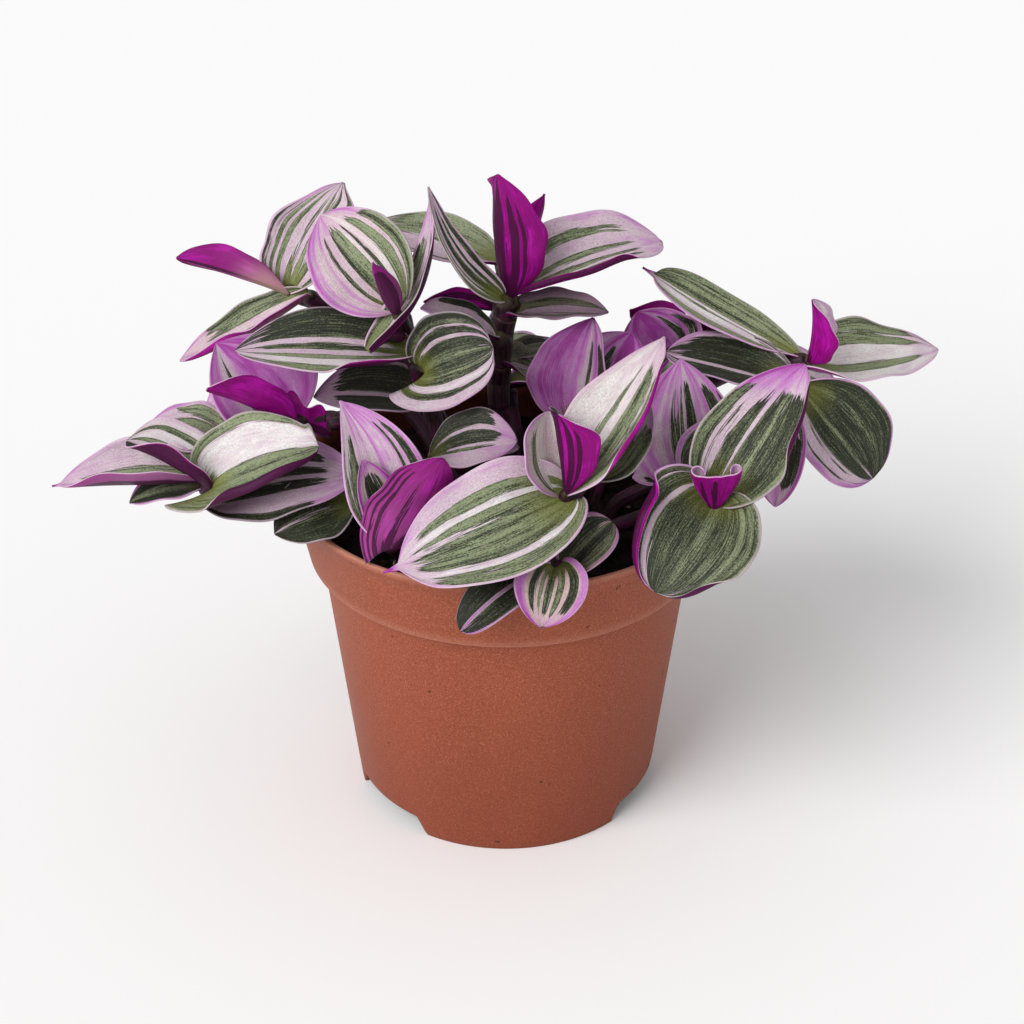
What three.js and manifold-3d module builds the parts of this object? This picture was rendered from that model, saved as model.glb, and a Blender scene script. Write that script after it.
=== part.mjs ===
// A tradescantia in a plastic nursery pot, in millimetres, +Z up.
// The origin is on the surface that the pot stands on, under the pot's axis. -Y is the front.
import * as THREE from 'three';
import { mergeVertices } from 'three/addons/utils/BufferGeometryUtils.js';
import Module from 'manifold-3d';

const wasm = await Module();
wasm.setup();

// Driving dimensions of the pot
const RIM_RADIUS = 60;
const POT_HEIGHT = 98.5;
const COLLAR_FOOT_RADIUS = 55.7;
const COLLAR_FOOT_HEIGHT = 77.3;
const WALL_TOP_RADIUS = 52.2;
const BASE_RADIUS = 43.2;
const WALL = 1.2;
const RIM_BEAD = 0.4;
const FLOOR_UNDERSIDE = 6;
const FLOOR_THICKNESS = 1.4;
const POT_SIDES = 36;

// The foot is a ring with three raised cut-outs, so the pot stands on three arcs
const FOOT_COUNT = 3;
const FRONT_FOOT_ANGLE = 6.5;
const CUTOUT_ANGLE = 42;
const CUTOUT_HEIGHT = 5.2;
const CUTOUT_SLOPE = 2.6;
const CUTOUT_UPRIGHT = 1;
const DRAIN_COUNT = 6;
const DRAIN_RADIUS = 3.6;
const DRAIN_CIRCLE = 30;
const DRAIN_SIDES = 8;

// Driving dimensions of the soil and the plant
const SOIL_TOP = 86.5;
const SOIL_LUMP = 1.1;
const SOIL_RINGS = 4;
const SOIL_EDGE = 1;
const FIT_GAP = 0.3;
const STEM_RADIUS = 2.1;
const STEM_SIDES = 5;
const STEM_STEPS = 6;
const STEM_SAMPLES = 60;
const CURVE_TENSION = 0.5;
const STEM_DEPTH = 14;
const STRAIGHT_ABOVE_SOIL = 2.5;
const HOLE_RADIUS = 3.1;
const HOLE_SIDES = 6;
const HOLE_BELOW_STEM = 0.5;
const BLADE_THICKNESS = 0.8;
const LONG_LEAF = 32;
const WIDE_LEAF = 17;
const CLASP = 0.9;
const CLASP_FADE = 5;
const TIP_CUP = 0.15;
const TIP_FADE = 6;
const TIP_HALF_WIDTH = 0.35;
const NECK = 0.02;
const WIDENING = 0.6;
const STALK_RADIUS = 1.6;
const STALK_SIDES = 4;
const STALK_OVERLAP = 2.5;

// Colours of the materials
const TERRACOTTA = 0xa4604a;
const SOIL_BROWN = 0x2a211c;
const LEAF_GREEN = 0xa99fa0;

const UP = [0, 0, 1];
const TO_FRONT = [0, -0.5, 1];

const degrees = THREE.MathUtils.degToRad;
const vector = (xyz) => new THREE.Vector3(...xyz);

// Solids: a closed geometry with shared vertices becomes a solid that can be joined and cut
function toSolid(geometry) {
  const bare = geometry.clone();
  bare.deleteAttribute('normal');
  bare.deleteAttribute('uv');
  const merged = mergeVertices(bare, 1e-4);
  return new wasm.Manifold(new wasm.Mesh({
    numProp: 3,
    vertProperties: new Float32Array(merged.attributes.position.array),
    triVerts: new Uint32Array(merged.index.array),
  }));
}

function toGeometry(solid) {
  const mesh = solid.getMesh();
  const geometry = new THREE.BufferGeometry();
  geometry.setAttribute('position', new THREE.BufferAttribute(new Float32Array(mesh.vertProperties), 3));
  geometry.setIndex(new THREE.BufferAttribute(new Uint32Array(mesh.triVerts), 1));
  geometry.computeVertexNormals();
  return geometry;
}

// The largest body of a joined solid: sealed hollows are filled and loose scraps are dropped
function largestBody(solid) {
  return solid.decompose().reduce((best, body) => (body.volume() > best.volume() ? body : best));
}

function meshOf(name, geometry, color, roughness) {
  const material = new THREE.MeshStandardMaterial({ color, roughness, metalness: 0 });
  const mesh = new THREE.Mesh(geometry, material);
  mesh.name = name;
  return mesh;
}

// A lathe turned about Z, from a profile of [radius, height] points
function turned(profile) {
  const points = profile.map(([radius, height]) => new THREE.Vector2(radius, height));
  return new THREE.LatheGeometry(points, POT_SIDES).rotateX(Math.PI / 2);
}

// Pot: the outer and inner radius of the wall and of the collar at a height
const wallSlope = (WALL_TOP_RADIUS - BASE_RADIUS) / COLLAR_FOOT_HEIGHT;
const collarSlope = (RIM_RADIUS - COLLAR_FOOT_RADIUS) / (POT_HEIGHT - COLLAR_FOOT_HEIGHT);
const ledgeTop = COLLAR_FOOT_HEIGHT + WALL;
const floorTop = FLOOR_UNDERSIDE + FLOOR_THICKNESS;

function wallInside(height) {
  return BASE_RADIUS + wallSlope * height - WALL;
}

function collarInside(height) {
  return COLLAR_FOOT_RADIUS + collarSlope * (height - COLLAR_FOOT_HEIGHT) - WALL;
}

function makePot() {
  const pot = toSolid(turned([
    [0, FLOOR_UNDERSIDE],
    [BASE_RADIUS - WALL, FLOOR_UNDERSIDE],
    [BASE_RADIUS - WALL, 0],
    [BASE_RADIUS, 0],
    [WALL_TOP_RADIUS, COLLAR_FOOT_HEIGHT],
    [COLLAR_FOOT_RADIUS, COLLAR_FOOT_HEIGHT],
    [RIM_RADIUS, POT_HEIGHT - RIM_BEAD],
    [RIM_RADIUS - RIM_BEAD, POT_HEIGHT],
    [collarInside(POT_HEIGHT), POT_HEIGHT],
    [collarInside(ledgeTop), ledgeTop],
    [wallInside(ledgeTop), ledgeTop],
    [wallInside(floorTop), floorTop],
    [0, floorTop],
  ]));
  let cut = pot;
  for (let i = 0; i < FOOT_COUNT; i += 1) {
    const angle = degrees(FRONT_FOOT_ANGLE + ((i + 0.5) * 360) / FOOT_COUNT);
    cut = cut.subtract(footCutout(angle));
  }
  for (let i = 0; i < DRAIN_COUNT; i += 1) {
    const angle = degrees(FRONT_FOOT_ANGLE + (i * 360) / DRAIN_COUNT);
    cut = cut.subtract(drainHole(angle));
  }
  return cut;
}

// A cut-out with sloped ends, pushed through the ring at an angle measured from the front
function footCutout(angle) {
  const half = BASE_RADIUS * Math.sin(degrees(CUTOUT_ANGLE / 2));
  const shape = new THREE.Shape();
  shape.moveTo(-half, -CUTOUT_UPRIGHT);
  shape.lineTo(half, -CUTOUT_UPRIGHT);
  shape.lineTo(half, CUTOUT_UPRIGHT);
  shape.lineTo(half - CUTOUT_SLOPE, CUTOUT_HEIGHT);
  shape.lineTo(CUTOUT_SLOPE - half, CUTOUT_HEIGHT);
  shape.lineTo(-half, CUTOUT_UPRIGHT);
  const reach = WALL_TOP_RADIUS - BASE_RADIUS;
  const tool = new THREE.ExtrudeGeometry(shape, { depth: 2 * reach, bevelEnabled: false });
  tool.rotateX(Math.PI / 2);
  tool.translate(0, reach - BASE_RADIUS * Math.cos(degrees(CUTOUT_ANGLE / 2)), 0);
  return toSolid(tool.rotateZ(angle));
}

function drainHole(angle) {
  const tool = new THREE.CylinderGeometry(DRAIN_RADIUS, DRAIN_RADIUS, 4 * FLOOR_THICKNESS, DRAIN_SIDES);
  tool.rotateX(Math.PI / 2);
  tool.translate(0, -DRAIN_CIRCLE, FLOOR_UNDERSIDE);
  return toSolid(tool.rotateZ(angle));
}

// Soil: fills the pot to just under the rim. Its top is lumpy by a sum of sine waves
function soilLump(x, y) {
  const broad = Math.sin(x * 0.21 + 1.3) * Math.cos(y * 0.17 + 0.4);
  const fine = Math.sin(x * 0.53 - y * 0.31) * Math.cos(y * 0.47 + x * 0.12);
  return SOIL_LUMP * (broad + 0.7 * fine);
}

function makeSoil() {
  const bottom = floorTop + FIT_GAP;
  const ledge = ledgeTop + FIT_GAP;
  const outer = collarInside(SOIL_TOP) - FIT_GAP;
  const profile = [
    [0, bottom],
    [wallInside(bottom) - FIT_GAP, bottom],
    [wallInside(ledge) - FIT_GAP, ledge],
    [collarInside(ledge) - FIT_GAP, ledge],
    [outer, SOIL_TOP],
  ];
  for (let ring = SOIL_RINGS - 1; ring >= 0; ring -= 1) {
    profile.push([(outer * ring) / SOIL_RINGS, SOIL_TOP]);
  }
  const geometry = turned(profile);
  const place = geometry.attributes.position;
  for (let i = 0; i < place.count; i += 1) {
    const radius = Math.hypot(place.getX(i), place.getY(i));
    const onTop = place.getZ(i) > (SOIL_TOP + ledge) / 2;
    if (onTop && radius < outer - SOIL_EDGE) {
      place.setZ(i, SOIL_TOP + soilLump(place.getX(i), place.getY(i)));
    }
  }
  return toSolid(geometry);
}

// A leaf: where it leaves its stem, where its tip is, its greatest width, and its form.
// fold is how far each half is cupped, in radians; arch lifts the midrib and bend moves it sideways,
// as shares of the length; faces is the way that the upper side looks; point sharpens the tip.
function leaf(foot, tip, width, form = {}) {
  return { foot, tip, width, fold: 0.5, arch: 0.1, bend: 0, faces: TO_FRONT, point: 0.75, ...form };
}

// Each stem: a soil hole, the bends of the stem, its shoot tip last, and its leaves
const STEMS = {
  stem_left_front: {
    path: [[-20, -16], [-26, -18, 98], [-50, -21, 111], [-81, -22, 109.5]],
    leaves: [
      leaf([-81, -22, 109], [-123.4, -15, 103], 24, { fold: 1.1, arch: 0.02, faces: [0, -0.25, 1] }),
      leaf([-84, -26, 107], [-49, -30, 123.5], 28, { fold: 0.45 }),
      leaf([-82, -21, 108], [-101, -20, 120.5], 19, { fold: 1.2, arch: 0.04, faces: [0, 0.15, 1] }),
      leaf([-75, -11, 111.5], [-97.5, -6, 117], 19, { faces: [0, -0.3, 1] }),
      leaf([-80, -22, 102], [-41, -27, 112.5], 26, { fold: 0.4, arch: 0.08 }),
      leaf([-48, -22.5, 103.5], [-79.5, -26.5, 102.5], 18, { fold: 0.4, faces: [0, -0.3, 1] }),
      leaf([-42, -28, 104.5], [-61, -37, 101], 22, { fold: 0.4 }),
      leaf([-81, -18, 104], [-101, -24, 103], 16, { fold: 0.4, faces: [0, -0.1, 1] }),
    ],
  },
  stem_left: {
    path: [[-14, -4], [-22, -6, 104], [-40, -9, 119], [-55.5, -10, 121.5]],
    leaves: [
      leaf([-58, -2, 115], [-78, 5, 134.5], 30, { fold: 0.6, arch: 0.06, faces: [0.3, -0.7, 0.6] }),
      leaf([-56.5, -17, 126], [-77, -23, 138.5], 13, { fold: 1.7, arch: 0.04, faces: [0, 0.3, 1] }),
      leaf([-49, -10, 121.5], [-70, -14, 125.5], 14, { fold: 1.6, arch: 0.04, faces: [0, 0.3, 1] }),
    ],
  },
  stem_left_high: {
    path: [[-12, 10], [-18, 13, 108], [-38, 18, 134], [-60, 20, 145]],
    leaves: [
      leaf([-60.5, 20.5, 144.5], [-90.5, 24, 154.5], 12, { fold: 1.3, arch: 0.02, faces: [0, 1, 0.3] }),
      leaf([-59.5, 20, 145], [-45, 32, 172.5], 23,
        { fold: 0.7, arch: 0.04, bend: -0.05, faces: [-0.3, -0.8, 0.5], point: 1.2 }),
      leaf([-53.5, 14, 147], [-90.5, 14, 126.5], 15, { fold: 1.1, arch: -0.04, faces: [0, -0.3, 1] }),
    ],
  },
  stem_centre_left: {
    path: [[-12, 2], [-15, 1, 98], [-21, 0, 120], [-28, 0, 146]],
    leaves: [
      leaf([-28, 0, 148.5], [-49, 14, 169.5], 29, { fold: 0.6, arch: 0.08, faces: [-0.2, -0.9, 0.6] }),
      leaf([-30, -8.5, 150], [-34, -11, 167], 9, { fold: 2.2, arch: 0.03, faces: [0, 1, 0.2] }),
      leaf([-34.5, -6, 141.5], [-19.5, 4, 179.5], 14,
        { fold: 0.8, arch: 0.02, bend: 0.12, faces: [-0.9, -0.4, 0.3] }),
      leaf([-25, -5, 139], [-71.5, -8, 141.5], 27, { arch: 0.06 }),
      leaf([-28.5, -8, 129.5], [-3.5, -15, 145], 24, { faces: [-0.1, -0.8, 0.6], point: 0.6 }),
      leaf([-21, 4, 118], [-52.5, 0, 122.5], 22, { arch: 0.08, faces: [0, -0.3, 1] }),
    ],
  },
  stem_centre_tall: {
    path: [[2, 10], [-1, 10, 100], [-2, 10, 122], [0, 10, 148]],
    leaves: [
      leaf([1.5, 8, 149], [-4, 12, 182], 23, { fold: 1.4, arch: 0.04, bend: -0.06, faces: [0, 1, 0] }),
      leaf([2, 16, 147], [9.5, 24, 171], 16, { fold: 1.1, arch: 0.06, faces: [-0.3, 1, 0.2] }),
      leaf([-1.5, 6, 149.5], [-19.5, -4, 184.5], 13, { fold: 1, arch: 0, faces: [0.5, -0.6, 0.7] }),
      leaf([-2, 16, 155], [-36.5, 30, 159], 18, { fold: 0.6, arch: 0.02, faces: [0, -0.4, 1] }),
      leaf([2.5, 11, 148.5], [42.5, 26, 156.5], 25, { fold: 0.75, faces: [-0.1, -0.4, 1] }),
      leaf([0.5, 8, 143], [27.5, 2, 147], 18, { fold: 0.4, arch: 0.05, faces: [0, -0.1, 1] }),
      leaf([-3, 11, 143.5], [-22, 3.5, 149.5], 10, { fold: 1.2, arch: 0.02, faces: [0, 1, 0.5] }),
      leaf([-3, 5, 137.5], [-22.5, -6, 152], 14, { fold: 0.6, arch: 0.05, faces: [0, -0.3, 1] }),
      leaf([-1.5, 8, 129], [12, 14, 119.5], 16, { fold: 0.4, arch: 0.08, faces: [0, -0.3, 1] }),
      leaf([-1, 15, 125.5], [15.5, 21, 128.5], 11, { fold: 0.4, arch: 0.06, faces: [0, -0.1, 1] }),
    ],
  },
  stem_centre_right: {
    path: [[14, 0], [20, 2, 100], [22, 3, 110], [23, 2, 116]],
    leaves: [
      leaf([18, -6, 118.5], [23, 2, 145.5], 28, { fold: 0.8, arch: 0.05, faces: [-0.5, -0.7, 0.3] }),
      leaf([23.5, 2, 116.5], [33.5, 12, 135.5], 26, { fold: 0.8, arch: 0.05, faces: [-0.3, -0.8, 0.3] }),
    ],
  },
  stem_right_behind: {
    path: [[14, 20], [24, 24, 108], [38, 26, 122], [47, 26, 125.5]],
    leaves: [
      leaf([47, 26, 125], [37.5, 30, 138], 20, { fold: 1.2, arch: 0.05, faces: [0, 1, 0.3] }),
      leaf([47, 25, 124.5], [36.5, 21, 138], 28, { fold: 0.6, arch: 0.08, faces: [-0.4, -0.8, 0.5] }),
      leaf([48, 26, 124], [73, 22, 122], 22, { fold: 0.8, arch: 0.06, faces: [0, 0.8, 0.6] }),
    ],
  },
  stem_right: {
    path: [[26, 6], [36, 8, 106], [60, 9, 124], [82.5, 10, 128.5]],
    leaves: [
      leaf([81, 10, 129.5], [39.5, 18, 153.5], 19, { arch: -0.03, faces: [0, -0.4, 1] }),
      leaf([83.5, 8, 129.5], [84, 8, 147.5], 15, { fold: 1.4, arch: 0.04, faces: [1, 0.3, 0.2] }),
      leaf([85, 12, 126.5], [122.7, 28, 123], 26, { fold: 0.7, arch: -0.02 }),
      leaf([81.5, 6, 122], [102, -2, 98], 27, { faces: [0.1, -0.8, 0.6] }),
      leaf([79, 2, 128.5], [44.5, 10, 133.5], 24, { fold: 0.4, arch: 0.04, faces: [0, -0.2, 1] }),
      leaf([77.5, 0, 121.5], [70.5, -10, 94], 16, { arch: 0.08, faces: [-0.3, -0.8, 0.6] }),
    ],
  },
  stem_right_inner: {
    path: [[30, -4], [38, -8, 98], [45, -10, 102], [51, -12, 104]],
    leaves: [
      leaf([51, -12, 103], [47, -4, 134], 26, { fold: 0.7, arch: 0.06, faces: [-0.3, -0.9, 0.3] }),
      leaf([50.5, -16, 104.5], [63, -11, 121], 22, { fold: 0.6, arch: 0.06, faces: [0, -0.8, 0.5] }),
      leaf([50.5, -12, 103], [34.5, -14, 105], 14, { fold: 0.6, arch: 0.06, faces: [0, -0.3, 1] }),
    ],
  },
  stem_front_centre: {
    path: [[8, -24], [9, -30, 98], [12, -37, 108], [13.5, -40, 115.5]],
    leaves: [
      leaf([14, -41, 114.5], [-29, -58, 106], 34, { arch: 0.14, faces: [-0.1, -0.6, 0.8] }),
      leaf([15.5, -40, 115.5], [41, -22, 151.5], 24,
        { fold: 0.6, arch: 0.05, bend: 0.04, faces: [-0.5, -0.7, 0.5] }),
      leaf([13, -39, 114.5], [11, -34, 136], 24,
        { fold: 0.9, arch: 0.04, bend: -0.1, faces: [0.4, -0.8, 0.2] }),
      leaf([15.5, -45, 119], [17, -48.5, 142], 19, { fold: 1.7, arch: 0.03, faces: [0, 1, 0.3] }),
      leaf([23.5, -33, 116], [37, -26, 135], 22, { arch: 0.06, faces: [-0.4, -0.7, 0.5] }),
    ],
  },
  stem_front_right: {
    path: [[26, -20], [34, -25, 98], [47, -31, 106], [55.5, -35, 109.5]],
    leaves: [
      leaf([55.5, -35, 110.5], [78.5, -18, 141.5], 26, { fold: 0.6, arch: 0.06, faces: [-0.3, -0.8, 0.5] }),
      leaf([55, -38, 110.5], [54, -40, 124.5], 12, { fold: 2.1, arch: 0.03, faces: [0, 1, 0.2] }),
      leaf([54, -36, 111], [43.5, -58, 96.5], 34, { arch: 0.14, faces: [-0.1, -0.8, 0.6], point: 0.6 }),
    ],
  },
  stem_over_rim: {
    path: [[12, -40], [13, -44, 95], [13.5, -49, 99], [13.5, -53, 100]],
    leaves: [
      leaf([14.5, -52, 100], [26.5, -46, 113], 15, { fold: 0.6, arch: 0.06, faces: [-0.4, -0.8, 0.5] }),
      leaf([12.5, -56.5, 102], [8.5, -69.5, 93], 20, { arch: 0.16, faces: [0, -0.8, 0.6], point: 0.6 }),
      leaf([12, -52.5, 100], [-11, -69, 92], 13, { arch: 0.14, faces: [0, -0.6, 0.8] }),
    ],
  },
  stem_front_left: {
    path: [[-24, -34], [-27, -37, 94], [-30, -40, 99], [-30.5, -42, 101.5]],
    leaves: [
      leaf([-30.5, -42, 101.5], [-42.5, -30, 136.5], 25,
        { fold: 0.8, arch: 0.05, bend: 0.1, faces: [0.2, -0.9, 0.3] }),
      leaf([-33.5, -48.5, 104.5], [-17, -42.5, 128], 23, { fold: 1, arch: -0.02, faces: [0.3, 1, 0.3] }),
      leaf([-30, -44, 102], [-40.5, -46, 103], 14, { arch: 0.06, faces: [0, -0.3, 1] }),
    ],
  },
  stem_centre_low: {
    path: [[-6, -14], [-10, -17, 100], [-16, -20, 110], [-19.5, -22, 116.5]],
    leaves: [
      leaf([-19.5, -22, 115.5], [3, -28, 124], 21, { arch: 0.12 }),
      leaf([-16.5, -18, 113], [3.5, -16, 115.5], 18, { fold: 0.4, arch: 0.08, faces: [0, -0.1, 1] }),
    ],
  },
  stem_back_left: {
    path: [[-20, 24], [-26, 32, 98], [-38, 40, 108], [-52, 44, 112]],
    leaves: [
      leaf([-50, 44, 112], [-92, 30, 100], 25, { arch: 0.12, faces: UP }),
      leaf([-51, 47.5, 111], [-78, 69, 107], 25, { arch: 0.12, faces: UP }),
      leaf([-44, 42, 110], [-36, 68, 100], 24, { arch: 0.12, faces: [0, 0.2, 1] }),
      leaf([-52, 44, 113], [-60, 48, 134], 13, { fold: 1.8, arch: 0.04, faces: [1, -0.3, 0] }),
      leaf([-36, 38, 108], [-46, 66, 114], 20, { fold: 0.6, arch: 0.08, faces: [0, -0.2, 1] }),
    ],
  },
  stem_back: {
    path: [[4, 28], [2, 36, 98], [0, 44, 105], [-3, 52, 108]],
    leaves: [
      leaf([-3, 50, 108], [-21, 68, 98], 22, { arch: 0.14, faces: [0, 0.1, 1] }),
      leaf([-1, 52, 107.5], [22, 69, 94.5], 22, { arch: 0.14, faces: [0, 0.1, 1] }),
      leaf([1, 39, 105], [31, 41, 105], 20, { fold: 0.6, arch: 0.08, faces: UP }),
      leaf([-3, 52, 108], [-4, 58, 121], 11, { fold: 1.9, arch: 0.03, faces: [0, -1, 0] }),
      leaf([0, 44, 105], [-22, 34, 106], 20, { fold: 0.6, arch: 0.08, faces: UP }),
    ],
  },
  stem_back_right: {
    path: [[26, 22], [34, 30, 98], [46, 36, 105], [58, 42, 108]],
    leaves: [
      leaf([56, 41, 108], [98, 34, 106], 25, { arch: 0.12, faces: UP }),
      leaf([57, 44, 107], [80, 68, 99], 26, { arch: 0.14, faces: UP }),
      leaf([48, 37, 106], [46, 68, 98], 24, { arch: 0.12, faces: [0, 0.2, 1] }),
      leaf([58, 42, 109], [66, 44, 130], 13, { fold: 1.8, arch: 0.04, faces: [-1, 0, 0] }),
      leaf([40, 33, 102], [58, 22, 112], 18, { fold: 0.6, arch: 0.08, faces: UP }),
    ],
  },
};

// The half-width of a leaf at a share of its length: a sheathing base, broad near the foot, then a point
function outlineShare(along, point) {
  return (along + NECK) ** WIDENING * Math.max(1 - along, 0) ** point;
}

function broadest(point) {
  const best = (WIDENING - NECK * point) / (WIDENING + point);
  return outlineShare(best, point);
}

// How far each half of the blade is cupped at a share of its length: clasping at the base, flat at the tip
function cupAt(along, fold) {
  const base = Math.max(CLASP, fold);
  const near = fold + (base - fold) * (1 - along) ** CLASP_FADE;
  const tipShare = along ** TIP_FADE;
  return near * (1 - tipShare) + TIP_CUP * tipShare;
}

// A blade as a closed plate. Its middle surface is a grid of points along and across the leaf,
// and each point is moved half the thickness to either side along the surface normal.
// Both faces are split into triangles alike, so the plate keeps its thickness everywhere.
function bladeGeometry({ foot, tip, width, fold, arch, bend, faces, point }) {
  const start = vector(foot);
  const axis = vector(tip).sub(start);
  const length = axis.length();
  axis.normalize();
  const lift = vector(faces);
  lift.addScaledVector(axis, -lift.dot(axis)).normalize();
  const side = new THREE.Vector3().crossVectors(axis, lift);
  const rows = length > LONG_LEAF ? 5 : 4;
  const columns = width > WIDE_LEAF ? 4 : 2;
  const upper = [];
  const lower = [];
  for (let row = 0; row <= rows; row += 1) {
    const along = row / rows;
    const rise = 4 * along * (1 - along) * length;
    const middle = start.clone().addScaledVector(axis, along * length);
    middle.addScaledVector(lift, arch * rise).addScaledVector(side, bend * rise);
    const slope = 4 * (1 - 2 * along);
    const tangent = axis.clone().addScaledVector(lift, arch * slope).addScaledVector(side, bend * slope);
    tangent.normalize();
    const across = side.clone().addScaledVector(tangent, -tangent.dot(side)).normalize();
    const normal = new THREE.Vector3().crossVectors(across, tangent).normalize();
    const half = Math.max(((width / 2) * outlineShare(along, point)) / broadest(point), TIP_HALF_WIDTH);
    const cup = cupAt(along, fold);
    for (let column = 0; column <= columns; column += 1) {
      const turn = cup * ((2 * column) / columns - 1);
      const surface = middle.clone();
      surface.addScaledVector(across, (half * Math.sin(turn)) / cup);
      surface.addScaledVector(normal, (half * (1 - Math.cos(turn))) / cup);
      const out = normal.clone().multiplyScalar(Math.cos(turn)).addScaledVector(across, -Math.sin(turn));
      upper.push(surface.clone().addScaledVector(out, BLADE_THICKNESS / 2));
      lower.push(surface.clone().addScaledVector(out, -BLADE_THICKNESS / 2));
    }
  }
  return plateGeometry(upper, lower, rows, columns);
}

// A closed plate from two like grids of points: two faces and the rim between them
function plateGeometry(upper, lower, rows, columns) {
  const points = [...upper, ...lower];
  const shift = upper.length;
  const at = (row, column) => row * (columns + 1) + column;
  const index = [];
  for (let row = 0; row < rows; row += 1) {
    for (let column = 0; column < columns; column += 1) {
      const a = at(row, column);
      const b = at(row + 1, column);
      const c = at(row + 1, column + 1);
      const d = at(row, column + 1);
      const halves = column < columns / 2 ? [[a, b, d], [b, c, d]] : [[a, b, c], [a, c, d]];
      for (const [p, q, r] of halves) {
        index.push(p, r, q, p + shift, q + shift, r + shift);
      }
    }
  }
  const rim = [];
  for (let row = 0; row < rows; row += 1) rim.push([at(row, 0), at(row + 1, 0)]);
  for (let column = 0; column < columns; column += 1) rim.push([at(rows, column), at(rows, column + 1)]);
  for (let row = rows; row > 0; row -= 1) rim.push([at(row, columns), at(row - 1, columns)]);
  for (let column = columns; column > 0; column -= 1) rim.push([at(0, column), at(0, column - 1)]);
  for (const [p, q] of rim) {
    index.push(p, q, q + shift, p, q + shift, p + shift);
  }
  const geometry = new THREE.BufferGeometry();
  geometry.setAttribute('position', new THREE.Float32BufferAttribute(points.flatMap((p) => p.toArray()), 3));
  geometry.setIndex(index);
  return geometry;
}

// A round tube along a smooth curve through the points
function tubeGeometry(points, radius, sides, steps) {
  const section = new THREE.Shape();
  for (let i = 0; i < sides; i += 1) {
    const angle = (2 * Math.PI * i) / sides;
    const method = i === 0 ? 'moveTo' : 'lineTo';
    section[method](radius * Math.cos(angle), radius * Math.sin(angle));
  }
  const extrudePath = new THREE.CatmullRomCurve3(points, false, 'catmullrom', CURVE_TENSION);
  return new THREE.ExtrudeGeometry(section, { steps, extrudePath });
}

// The stem's line: straight up out of its hole, then through its bends to the shoot tip
function stemLine(path) {
  const [[x, y], ...bends] = path;
  const buried = new THREE.Vector3(x, y, SOIL_TOP - STEM_DEPTH);
  const surface = new THREE.Vector3(x, y, SOIL_TOP + STRAIGHT_ABOVE_SOIL);
  return [buried, surface, ...bends.map(vector)];
}

function stemSolid({ path, leaves }) {
  const line = stemLine(path);
  let solid = toSolid(tubeGeometry(line, STEM_RADIUS, STEM_SIDES, STEM_STEPS));
  const curve = new THREE.CatmullRomCurve3(line, false, 'catmullrom', CURVE_TENSION);
  const spots = curve.getPoints(STEM_SAMPLES);
  for (const one of leaves) {
    solid = solid.add(toSolid(bladeGeometry(one)));
    const carrier = nearestSpot(vector(one.foot), spots);
    if (carrier.distanceTo(vector(one.foot)) > STEM_RADIUS / 2) {
      solid = solid.add(leafStalk(one, carrier));
    }
  }
  return largestBody(solid);
}

function nearestSpot(place, spots) {
  return spots.reduce((best, spot) => (
    spot.distanceTo(place) < best.distanceTo(place) ? spot : best));
}

// The closed sheath that carries a leaf off the stem's line, to just past the leaf's foot
function leafStalk({ foot, tip }, carrier) {
  const base = vector(foot);
  const reach = vector(tip).sub(base).normalize();
  const end = base.addScaledVector(reach, STALK_OVERLAP);
  return toSolid(tubeGeometry([carrier, end], STALK_RADIUS, STALK_SIDES, 1));
}

// The hole in the soil: straight, a little wider and deeper than the stem, so the stem stands clear in it
function stemHole({ path }) {
  const [[x, y]] = path;
  const height = STEM_DEPTH + HOLE_BELOW_STEM + 2 * STRAIGHT_ABOVE_SOIL;
  const tool = new THREE.CylinderGeometry(HOLE_RADIUS, HOLE_RADIUS, height, HOLE_SIDES);
  tool.rotateX(Math.PI / 2);
  return toSolid(tool.translate(x, y, SOIL_TOP - STEM_DEPTH - HOLE_BELOW_STEM + height / 2));
}

const plant = new THREE.Group();
plant.add(meshOf('pot', toGeometry(makePot()), TERRACOTTA, 0.6));

let soil = makeSoil();
for (const stem of Object.values(STEMS)) {
  soil = soil.subtract(stemHole(stem));
}
plant.add(meshOf('soil', toGeometry(soil), SOIL_BROWN, 0.95));

for (const [name, stem] of Object.entries(STEMS)) {
  plant.add(meshOf(name, toGeometry(stemSolid(stem)), LEAF_GREEN, 0.5));
}

export default plant;
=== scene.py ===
# %% [markdown]
# # A striped tradescantia in a nursery pot
# The plant is a bunch of short, juicy stems. Each one carries pointed leaves that are striped pink, cream
# and green above and purple below, and it stands in a brown plastic pot of potting soil.
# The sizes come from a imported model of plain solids. This lesson dresses that model: every leafy stem, the
# soil and the pot gets a finer surface of the same form, worked out with numpy, and a material made of
# nodes.

import math

import bpy
import numpy as np
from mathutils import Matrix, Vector


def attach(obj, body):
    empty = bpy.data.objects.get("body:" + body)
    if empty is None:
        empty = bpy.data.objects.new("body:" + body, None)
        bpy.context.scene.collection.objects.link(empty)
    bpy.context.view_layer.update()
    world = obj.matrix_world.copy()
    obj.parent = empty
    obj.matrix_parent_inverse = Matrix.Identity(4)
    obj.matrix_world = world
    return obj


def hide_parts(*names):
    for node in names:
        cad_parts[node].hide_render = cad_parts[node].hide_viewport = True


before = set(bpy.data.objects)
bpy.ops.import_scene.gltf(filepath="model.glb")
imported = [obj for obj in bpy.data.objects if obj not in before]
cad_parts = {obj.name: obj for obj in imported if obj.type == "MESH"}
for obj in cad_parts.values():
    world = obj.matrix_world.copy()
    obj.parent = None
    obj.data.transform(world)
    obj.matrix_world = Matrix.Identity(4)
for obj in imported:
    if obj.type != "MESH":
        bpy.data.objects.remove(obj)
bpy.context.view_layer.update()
MM = 0.001
print("nodes:", len(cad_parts))

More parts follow.
